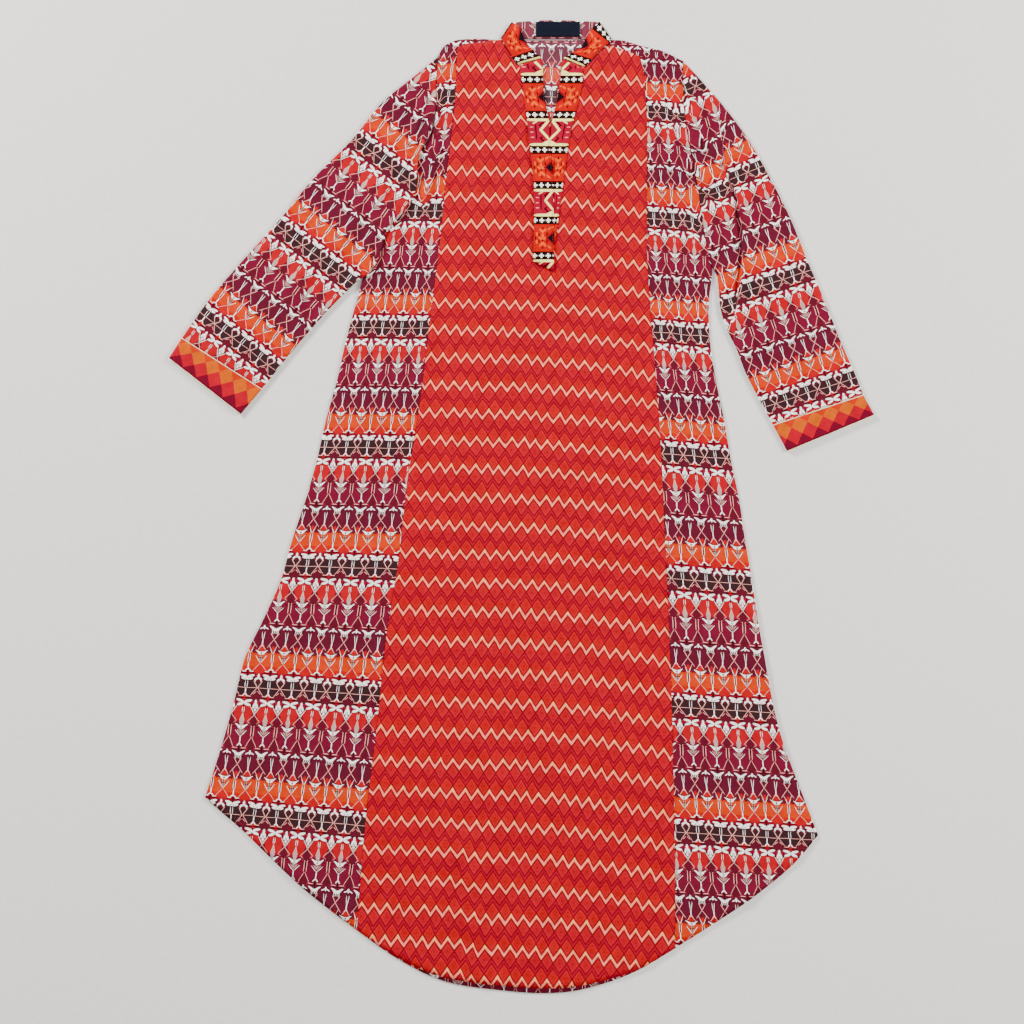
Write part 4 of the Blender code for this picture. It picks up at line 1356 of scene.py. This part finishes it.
# %% Stroke nodes
def strokes(tree, point, table, square_ends):
    """How near a point is to a table's strokes: under 1 is on one of them."""
    nearest = None
    for x0, y0, x1, y1, half_width in table:
        length = math.hypot(x1 - x0, y1 - y0) / 2 + half_width
        run_x, run_y = (x1 - x0), (y1 - y0)
        scale = math.hypot(run_x, run_y) or 1.0
        run_x, run_y = (run_x / scale, run_y / scale) if run_x or run_y else (1.0, 0.0)
        mid_x, mid_y = (x0 + x1) / 2, (y0 + y1) / 2
        along = (run_x / length, run_y / length, -(run_x * mid_x + run_y * mid_y) / length)
        across = (-run_y / half_width, run_x / half_width, (run_y * mid_x - run_x * mid_y) / half_width)
        far, off = (vector_calc(tree, "DOT_PRODUCT", point, way).node.outputs["Value"] for way in (along, across))
        far = calc(tree, "MULTIPLY", far, far)
        if square_ends:
            far = calc(tree, "MULTIPLY", far, far)
        here = calc(tree, "MULTIPLY_ADD", off, off, far)
        nearest = here if nearest is None else calc(tree, "MINIMUM", nearest, here)
    return nearest


# A stroke's soft edge and a rim's, as the distances where they start and end
STROKE_EDGE = (1.3, 0.8)
RIM = (2.5, 1.8, 0.0, 0.72)


def draw(tree, colour, point, table, ink, square_ends=False, rim_ink=None):
    """Paint a table's strokes in one ink over a colour, with a rim where one is given."""
    near = strokes(tree, point, table, square_ends)
    if rim_ink:
        colour = over(tree, colour, ranged(tree, near, *RIM), linear(rim_ink))
    return over(tree, colour, ranged(tree, near, *STROKE_EDGE), linear(ink))


# %% Banded print tables
HALF_MOTIF = 15.0
REPEAT_MM = REPEAT * 1000
REPEAT_START = -64.6
WANDER = 0.0026
# The bands meet in scallops this many millimetres deep
SCALLOP = 3.0
# Ground colours down the repeat. Columns: millimetres, colour
GROUND = (
    (-64.6, "8C0020"), (-61.5, "660C24"), (-56.0, "31191D"), (-37.5, "54121E"), (-32.0, "8C0A2A"),
    (-23.5, "A60818"), (-4.5, "8A0A2A"), (1.5, "680F28"), (27.5, "6C132A"), (34.5, "561024"),
    (62.5, "6E1424"), (69.0, "C03000"), (87.0, "B20C02"), (92.5, "9F0418"),
)
# Columns: start x and y, end x and y, half width, all in millimetres.
# x is 0 on one motif's middle and 15 on the next one's.
RED_SHAPES = (
    (0.0, 85.5, 0.0, 94.0, 3.6), (15.0, -37.5, 15.0, -34.0, 2.6), (0.0, 60.0, 0.0, 66.0, 3.4),
    (15.0, 61.5, 15.0, 66.0, 2.2),
)
MAROON_SHAPES = (
    (0.0, -11.0, 0.0, 0.0, 4.6), (0.0, -39.0, 0.0, -34.0, 4.6), (0.0, 22.0, 0.0, 30.0, 4.2),
)
TAN_SHAPES = (
    (15.0, -13.0, 15.0, -2.0, 1.3), (15.0, -5.0, 15.0, 0.5, 2.6), (15.0, 2.5, 15.0, 9.0, 2.6),
    (0.0, -20.5, 0.0, -13.6, 1.9), (0.0, 72.6, 0.0, 79.0, 1.5),
)
# Each wing and flower is two or three strokes
WHITE_SHAPES = (
    # The goblet over the crimson band, its stem and foot
    (7.8, 0.6, 12.4, 3.6, 0.8), (10.2, 2.7, 13.8, 3.3, 1.0), (11.3, 4.3, 14.0, 6.1, 0.95),
    (15.0, 15.0, 15.0, 23.5, 0.65), (12.2, 26.9, 15.0, 23.6, 0.65), (7.6, 8.4, 14.2, 15.2, 0.33),
    # The flower chain over the maroon band
    (7.8, 33.8, 13.0, 36.6, 1.02), (10.0, 35.8, 13.4, 38.8, 0.99), (11.0, 38.8, 12.2, 43.2, 0.38),
    (13.4, 38.2, 14.2, 42.2, 0.31), (14.0, 36.6, 15.0, 38.4, 0.99),
    (0.0, 33.6, 0.0, 36.2, 1.23), (1.6, 35.2, 4.8, 37.0, 0.65),
    (1.7, 41.0, 0.6, 51.0, 0.34), (0.0, 51.0, 0.0, 57.6, 0.65), (0.0, 57.6, 2.2, 60.4, 0.46),
    # The goblet over the orange band and the loop beside it
    (7.2, 65.0, 2.6, 68.0, 0.8), (4.8, 67.1, 1.2, 67.7, 1.0), (3.7, 68.7, 1.0, 70.5, 0.95),
    (6.8, 72.4, 0.5, 82.0, 0.33), (11.8, 63.4, 14.4, 69.4, 0.34),
    (13.7, 70.4, 13.7, 81.4, 0.32), (15.0, 82.0, 15.0, 90.0, 0.7),
    (11.6, 92.0, 15.0, 89.6, 0.65), (7.6, 93.0, 12.0, 93.3, 0.46),
    # The flower and the bud over the dark band, and the loop under the flower
    (6.8, -62.0, 12.6, -60.8, 1.43), (9.2, -58.4, 14.4, -58.0, 1.68), (12.6, -60.4, 14.6, -59.2, 1.48),
    (0.0, -62.6, 0.0, -59.4, 1.27), (0.8, -58.6, 3.8, -57.2, 1.27), (3.6, -57.4, 4.0, -54.8, 0.58),
    (13.6, -55.0, 13.6, -46.8, 0.3), (15.0, -46.0, 15.0, -39.5, 0.7), (12.2, -35.9, 15.0, -39.2, 0.65),
    # The bow and the pear over the red band
    (6.6, -30.6, 12.8, -29.0, 1.48), (8.0, -24.4, 13.4, -26.2, 1.57), (12.0, -28.4, 14.6, -27.6, 1.19),
    (0.0, -30.0, 0.0, -27.6, 1.37), (0.4, -26.2, 2.2, -22.0, 1.68), (0.0, -21.4, 0.0, -18.4, 1.48),
    (6.2, -22.6, 0.5, -13.4, 0.34), (13.9, -21.6, 13.9, -15.0, 0.29),
)
CREAM_LINES = (
    (0.0, -12.2, 8.2, -3.4, 0.29), (7.2, -3.0, 1.2, 3.0, 0.33), (1.7, 3.5, 1.7, 15.0, 0.4),
    (0.4, 16.0, 7.0, 28.6, 0.29), (6.2, 29.7, 12.2, 29.9, 0.4),
    (9.4, 41.4, 15.0, 50.6, 0.37), (15.0, 50.6, 6.8, 61.4, 0.29),
    (0.8, 58.4, 5.2, 65.0, 0.31), (9.6, 58.0, 12.4, 63.6, 0.31),
    (0.4, 83.0, 8.4, 92.0, 0.25), (0.0, -46.4, 15.0, -46.4, 0.24), (5.6, -55.0, 0.3, -46.6, 0.4),
    (0.3, -46.6, 7.6, -36.8, 0.31), (7.4, -35.4, 12.4, -35.6, 0.4),
    (12.0, -3.8, 14.8, -12.6, 0.29), (10.2, 7.6, 14.6, 12.8, 0.27), (4.6, -38.4, 1.0, -41.6, 0.29),
)
DARK_LINES = (
    (2.8, 1.4, 6.4, -1.4, 0.5), (6.4, -1.4, 13.0, 0.2, 0.45), (4.6, 4.0, 6.8, 2.6, 0.45),
    (13.2, 5.6, 14.2, 12.0, 0.34), (0.0, 4.4, 0.0, 9.6, 0.6),
    (0.0, 11.2, 0.0, 14.6, 0.5), (15.0, 27.0, 15.0, 32.4, 0.85),
    (7.6, 32.0, 15.0, 32.0, 0.55), (15.0, 33.4, 15.0, 36.4, 0.5), (15.0, 40.0, 15.0, 43.6, 0.6),
    (8.6, 39.4, 9.6, 43.0, 0.45), (2.6, 33.4, 4.6, 34.2, 0.4),
    (12.2, 67.0, 8.6, 64.0, 0.5), (8.6, 64.0, 1.8, 66.6, 0.5), (10.6, 69.4, 8.4, 67.6, 0.45),
    (0.0, 70.2, 0.0, 79.2, 0.5), (0.0, 75.2, 2.8, 75.2, 0.45),
    (15.0, 71.6, 15.0, 79.6, 0.5), (6.4, 95.0, 15.0, 95.0, 0.5),
    (15.0, 91.6, 15.0, 95.4, 0.85), (15.0, -64.6, 15.0, -60.6, 0.75), (12.2, -57.2, 13.8, -58.8, 0.4),
    (1.2, -58.0, 1.2, -55.0, 0.4), (7.4, -33.2, 15.0, -33.2, 0.55), (15.0, -30.4, 15.0, -28.8, 0.7),
    (15.0, -26.0, 15.0, -24.2, 0.7), (9.6, -27.4, 11.4, -27.4, 0.4), (0.9, -23.4, 0.9, -19.6, 0.4),
    (5.4, -28.0, 4.9, -22.0, 0.5), (4.8, -62.8, 5.6, -58.4, 0.45),
)


def banded_colours(tree, uv):
    # A little wander, so the repeats aren't ruled
    wander = noise(tree, uv, 38.0, 2.0).node.outputs["Color"]
    wander = vector_calc(tree, "SUBTRACT", wander, (0.5, 0.5, 0.5))
    shift = vector_calc(tree, "SCALE", wander, Scale=WANDER)
    across, down = split(tree, vector_calc(tree, "ADD", uv, shift))
    across = calc(tree, "PINGPONG", calc(tree, "MULTIPLY", across, 1000.0), HALF_MOTIF)
    down = calc(tree, "MULTIPLY", down, 1000.0)
    down = calc(tree, "WRAP", down, REPEAT_START + REPEAT_MM, REPEAT_START)
    point = add_node(tree, "ShaderNodeCombineXYZ", {"X": across, "Y": down, "Z": 1.0})
    scallop = calc(tree, "MULTIPLY", across, SCALLOP / HALF_MOTIF)
    scallop = calc(tree, "SUBTRACT", scallop, SCALLOP / 2)
    wavy = calc(tree, "ADD", down, scallop)
    share = ranged(tree, wavy, REPEAT_START, REPEAT_START + REPEAT_MM)
    colour = ramp_colour(tree, share, [((y - REPEAT_START) / REPEAT_MM, ink) for y, ink in GROUND], "CONSTANT")
    for table, ink, square_ends in (
        (RED_SHAPES, "AA0A12", False), (MAROON_SHAPES, "560F20", False), (TAN_SHAPES, "AE9288", False),
        (WHITE_SHAPES, "FFF4EE", False), (CREAM_LINES, "F2A89C", True), (DARK_LINES, "22080C", True),
    ):
        # Each white shape has a dark outline
        rim_ink = "30060E" if table is WHITE_SHAPES else None
        colour = draw(tree, colour, point, table, ink, square_ends, rim_ink)
    return colour


banded_viscose = cloth_material("banded printed viscose", banded_colours)
print(len(banded_viscose.node_tree.nodes), "nodes in the banded print")

# %% [markdown]
# ## The cuff border
# The cuffs carry rows of diamonds. Two slanted counts, one rising and one falling,
# cut the cloth into diamonds, and their sum says which row a diamond is in, so a
# colour ramp with hard steps paints each row.

# %% Diamond border nodes
DIAMOND_WIDTH = 0.0222
DIAMOND_ROWS = 1.53
FIRST_DIAMOND = 0.565
DIAMOND_INKS = ("B92600", "B92600", "BE5000", "A8001C", "660720", "660720")


def diamond_colours(tree, uv):
    across, down = split(tree, uv)
    across = calc(tree, "MULTIPLY", across, 1 / DIAMOND_WIDTH)
    down = calc(tree, "MULTIPLY_ADD", down, DIAMOND_ROWS, FIRST_DIAMOND)
    rising = calc(tree, "ADD", down, across)
    falling = calc(tree, "SUBTRACT", down, across)
    rising_cell = calc(tree, "FLOOR", rising)
    falling_cell = calc(tree, "FLOOR", falling)
    row = calc(tree, "ADD", rising_cell, falling_cell)
    row = calc(tree, "ADD", row, 1.5)
    row = calc(tree, "DIVIDE", row, 6.0)
    return ramp_colour(tree, row, [(i / 6, ink) for i, ink in enumerate(DIAMOND_INKS)], "CONSTANT")


diamond_viscose = cloth_material("diamond border viscose", diamond_colours)

# %% [markdown]
# ## The neck border
# The border of the collar and placket is a run of sections between dark bands, with a
# row of small pale crosses in each band. A section of hooks alternates with a section
# of flowers. Both mirror about the border's middle, which runs along the neck slit, so
# the strokes are given by their distance from it and from the band above.

# %% Neck border nodes
CROSS_SPACING = 0.0088
CROSS_ARM = 0.12
CROSS_REACH = 0.37
BAND_HALF = 0.112
MIDDLE_SLANT = 0.019
MIDDLE_DIAMOND = 0.19
MIDDLE_RIM = 0.25
SECTION_MM = SECTION * 1000
HOOK_CREAM = (
    (1.0, 7.0, 27.0, 7.0, 1.8), (2.0, 8.0, 12.6, 21.0, 1.5), (12.6, 21.0, 1.5, 34.5, 1.5),
    (0.0, 41.0, 26.0, 41.0, 1.9), (1.0, 36.5, 9.0, 40.0, 2.2), (16.0, 9.0, 21.0, 12.0, 0.8),
)
HOOK_DARK = (
    (8.4, 10.2, 13.6, 14.5, 0.8), (13.6, 14.5, 11.0, 16.5, 0.6), (8.4, 37.2, 13.4, 32.0, 0.8),
    (13.4, 32.0, 10.6, 30.4, 0.6), (18.4, 13.0, 18.4, 34.0, 0.6), (2.0, 43.4, 26.0, 43.4, 0.6),
    (2.0, 4.6, 26.0, 4.6, 0.5),
)
HOOK_PINK = ((22.0, 17.0, 25.0, 17.0, 0.7), (22.0, 24.0, 25.0, 24.0, 0.7), (21.6, 31.0, 25.0, 31.0, 0.7))
FLOWER_ORANGE = (
    (12.6, 12.5, 16.2, 16.0, 1.5), (19.6, 12.5, 16.2, 16.0, 1.5), (16.2, 19.6, 16.2, 22.6, 1.7),
    (12.0, 23.6, 15.0, 25.4, 1.5), (20.6, 23.6, 17.6, 25.4, 1.5), (12.6, 34.5, 16.0, 30.5, 1.5),
    (19.6, 34.5, 16.0, 30.5, 1.5), (24.0, 17.5, 24.0, 20.0, 1.4), (24.0, 28.0, 24.0, 30.5, 1.4),
    (6.0, 10.0, 8.6, 12.4, 1.2), (6.0, 37.8, 8.6, 35.4, 1.2), (2.0, 9.0, 3.4, 9.6, 1.1),
)
FLOWER_DARK = (
    (10.4, 17.0, 10.4, 21.0, 0.8), (10.4, 27.0, 10.4, 31.0, 0.8), (16.2, 26.4, 16.2, 28.2, 0.8),
    (21.0, 18.6, 21.0, 20.4, 0.8), (21.0, 28.0, 21.0, 29.8, 0.8), (16.2, 9.6, 16.2, 11.4, 0.8),
    (16.2, 36.4, 16.2, 38.2, 0.8), (25.6, 23.0, 25.6, 25.4, 0.8),
)


def border_colours(tree, uv):
    across, section = split(tree, uv)
    side = calc(tree, "MULTIPLY", across, 1000.0)
    side = calc(tree, "ABSOLUTE", side)
    below = calc(tree, "MULTIPLY", section, -1.0)
    below = calc(tree, "FRACT", below)
    below = calc(tree, "MULTIPLY", below, SECTION_MM)
    point = add_node(tree, "ShaderNodeCombineXYZ", {"X": side, "Y": below, "Z": 1.0})
    from_band = calc(tree, "PINGPONG", section, 0.5)
    # A dark diamond with a rim, on the border's middle
    rise = calc(tree, "SUBTRACT", 0.5, from_band)
    slant = calc(tree, "MULTIPLY_ADD", side, MIDDLE_SLANT, rise)
    in_diamond = calc(tree, "LESS_THAN", slant, MIDDLE_DIAMOND)
    in_rim = calc(tree, "LESS_THAN", slant, MIDDLE_RIM)
    # Hooks
    hooks = draw(tree, linear("990026"), point, HOOK_PINK, "F08078")
    hooks = draw(tree, hooks, point, HOOK_DARK, "1A0200", True)
    hooks = draw(tree, hooks, point, HOOK_CREAM, "FFF08A", True)
    # Flowers
    flowers = draw(tree, linear("B40200"), point, FLOWER_ORANGE, "E05000")
    flowers = draw(tree, flowers, point, FLOWER_DARK, "4C0606")
    flowers = over(tree, flowers, in_rim, linear("8C0010"))
    flowers = over(tree, flowers, in_diamond, linear("12060C"))
    parity = calc(tree, "MULTIPLY", section, 0.5)
    parity = calc(tree, "FRACT", parity)
    hooked = calc(tree, "GREATER_THAN", parity, 0.5)
    colour = over(tree, flowers, hooked, hooks)
    # Dark bands with crosses
    band = calc(tree, "LESS_THAN", from_band, BAND_HALF)
    colour = over(tree, colour, band, linear("1E0402"))
    cross_x = calc(tree, "MULTIPLY", across, 1 / CROSS_SPACING)
    cross_x = calc(tree, "PINGPONG", cross_x, 0.5)
    cross_y = calc(tree, "MULTIPLY", from_band, SECTION / CROSS_SPACING)
    arm = calc(tree, "MINIMUM", cross_x, cross_y)
    reach = calc(tree, "MAXIMUM", cross_x, cross_y)
    thin = calc(tree, "LESS_THAN", arm, CROSS_ARM)
    short = calc(tree, "LESS_THAN", reach, CROSS_REACH)
    cross = calc(tree, "MULTIPLY", thin, short)
    return over(tree, colour, cross, linear("FFFFF0"))


border_viscose = cloth_material("neck border viscose", border_colours)

# %% [markdown]
# ## The label and the threads
# The label is black polyester satin tape, so it is smoother and a little glossier than
# the cloth, with a fine twill line. The piping and thread are matt cotton.

# %% Label and thread materials
def label_colours(tree, uv):
    # Twill lines a little over 2 mm apart
    lines = add_node(tree, "ShaderNodeTexWave", {"Vector": uv, "Scale": 195.0}, bands_direction="DIAGONAL")
    return ramp_colour(tree, lines.node.outputs["Fac"], [(0.0, "08091A"), (1.0, "141824")])


label_satin = cloth_material("woven satin label", label_colours, roughness=0.5)


def plain_cotton(name, low, high):
    """Twisted cotton: the twist runs at a slant, and its colour is painted darker between the plies as painted
    shade.
    """
    material, tree, shader, here = new_material(name, 0.85)
    twist = add_node(tree, "ShaderNodeTexWave", {"Vector": here, "Scale": 200.0}, bands_direction="DIAGONAL")
    twist = twist.node.outputs["Fac"]
    # Painted shade: the low colour is the shade in the grooves between the plies, the high colour the tops of the
    # plies
    tree.links.new(ramp_colour(tree, twist, [(0.0, low), (1.0, high)]), shader.inputs["Base Color"])
    bump = add_node(tree, "ShaderNodeBump", {"Height": twist, "Distance": 0.0002})
    tree.links.new(bump, shader.inputs["Normal"])
    return material


piping_cotton = plain_cotton("cream cotton piping", "D9BC9A", "FFF6CC")
thread_red = plain_cotton("red sewing thread", "860006", "B2080C")

# %% [markdown]
# ## Inside out
# Where the neck lies open, the back and the collar show the wrong side of their cloth,
# on which the ink is paler and greyer. Faces there take a second material.

# %% Wrong side of the banded print
NECK_OPENING = (-0.03, 0.11, 0.48)
PALER = 0.055


def wrong_side_colours(tree, uv):
    return over(tree, banded_colours(tree, uv), PALER, linear("C8A8B8"))


wrong_side_viscose = cloth_material("wrong side of banded viscose", wrong_side_colours)


def add_second_material(piece, material, is_there):
    """Give a second material to the faces whose middle is_there accepts."""
    piece.data.materials.append(material)
    for face in piece.data.polygons:
        if is_there(face.center):
            face.material_index = 1


# %% Hand out the materials
banded_pieces = (back_cloth, side_left, side_right, sleeve_left, sleeve_right)
for piece in banded_pieces:
    piece.data.materials.append(banded_viscose)
add_second_material(back_cloth, wrong_side_viscose,
                    lambda at: NECK_OPENING[0] < at.x < NECK_OPENING[1] and at.y > NECK_OPENING[2])
centre_cloth.data.materials.append(zigzag_viscose)
for piece in (cuff_left, cuff_right):
    piece.data.materials.append(diamond_viscose)
for piece in (placket_left, placket_right, collar_cloth):
    piece.data.materials.append(border_viscose)
add_second_material(collar_cloth, wrong_side_viscose, lambda at: at.z < (collar_under + collar_over) / 2)
label_cloth.data.materials.append(label_satin)
for cord in pipings:
    cord.data.materials.append(piping_cotton)
for row in stitches:
    row.data.materials.append(thread_red)

# %% [markdown]
# ## What each sheet was cut to
# Every cloth piece is listed with the size that it was cut to. A sleeve
# or cuff is measured all round its tube. The flat area is given too, because most of
# these cuts aren't rectangles.

def measured_area(piece):
    """Half of a thin wall's surface, for the printed line only."""
    return round(sum(face.area for face in piece.data.polygons) / 2, 4)


# The area of a cut comes from the photo's outline, with the shoelace rule, and twice
# that on a sleeve or cuff. A placket strip or label has its rectangle's area. None is
# taken from the mesh, which is measured against it.
# Columns: piece, across and along in metres, square metres, what it lies on
SHEETS = (
    (back_cloth, (0.82, 1.275), 0.6884, ["floor"]),
    (centre_cloth, (0.425, 1.265), 0.4216, ["back_cloth"]),
    (side_left, (0.34, 1.18), 0.1398, ["back_cloth"]),
    (side_right, (0.24, 1.19), 0.1203, ["back_cloth"]),
    (sleeve_left, (0.33, 0.50), 0.1012, ["floor", "side_cloth_left"]),
    (sleeve_right, (0.36, 0.47), 0.0904, ["floor"]),
    (cuff_left, (0.26, 0.042), 0.0093, ["floor"]),
    (cuff_right, (0.27, 0.036), 0.0087, ["floor"]),
    (collar_cloth, (0.285, 0.031), 0.0063, ["floor", "back_cloth"]),
    (placket_left, (0.028, 0.275), 0.0077, ["centre_cloth"]),
    (placket_right, (0.027, 0.235), 0.0063, ["centre_cloth"]),
    (label_cloth, (0.059, 0.020), 0.00118, ["collar_cloth"]),
)
for piece, flat, area, under in SHEETS:
    print(piece.name, "cut", area, "measured", measured_area(piece))
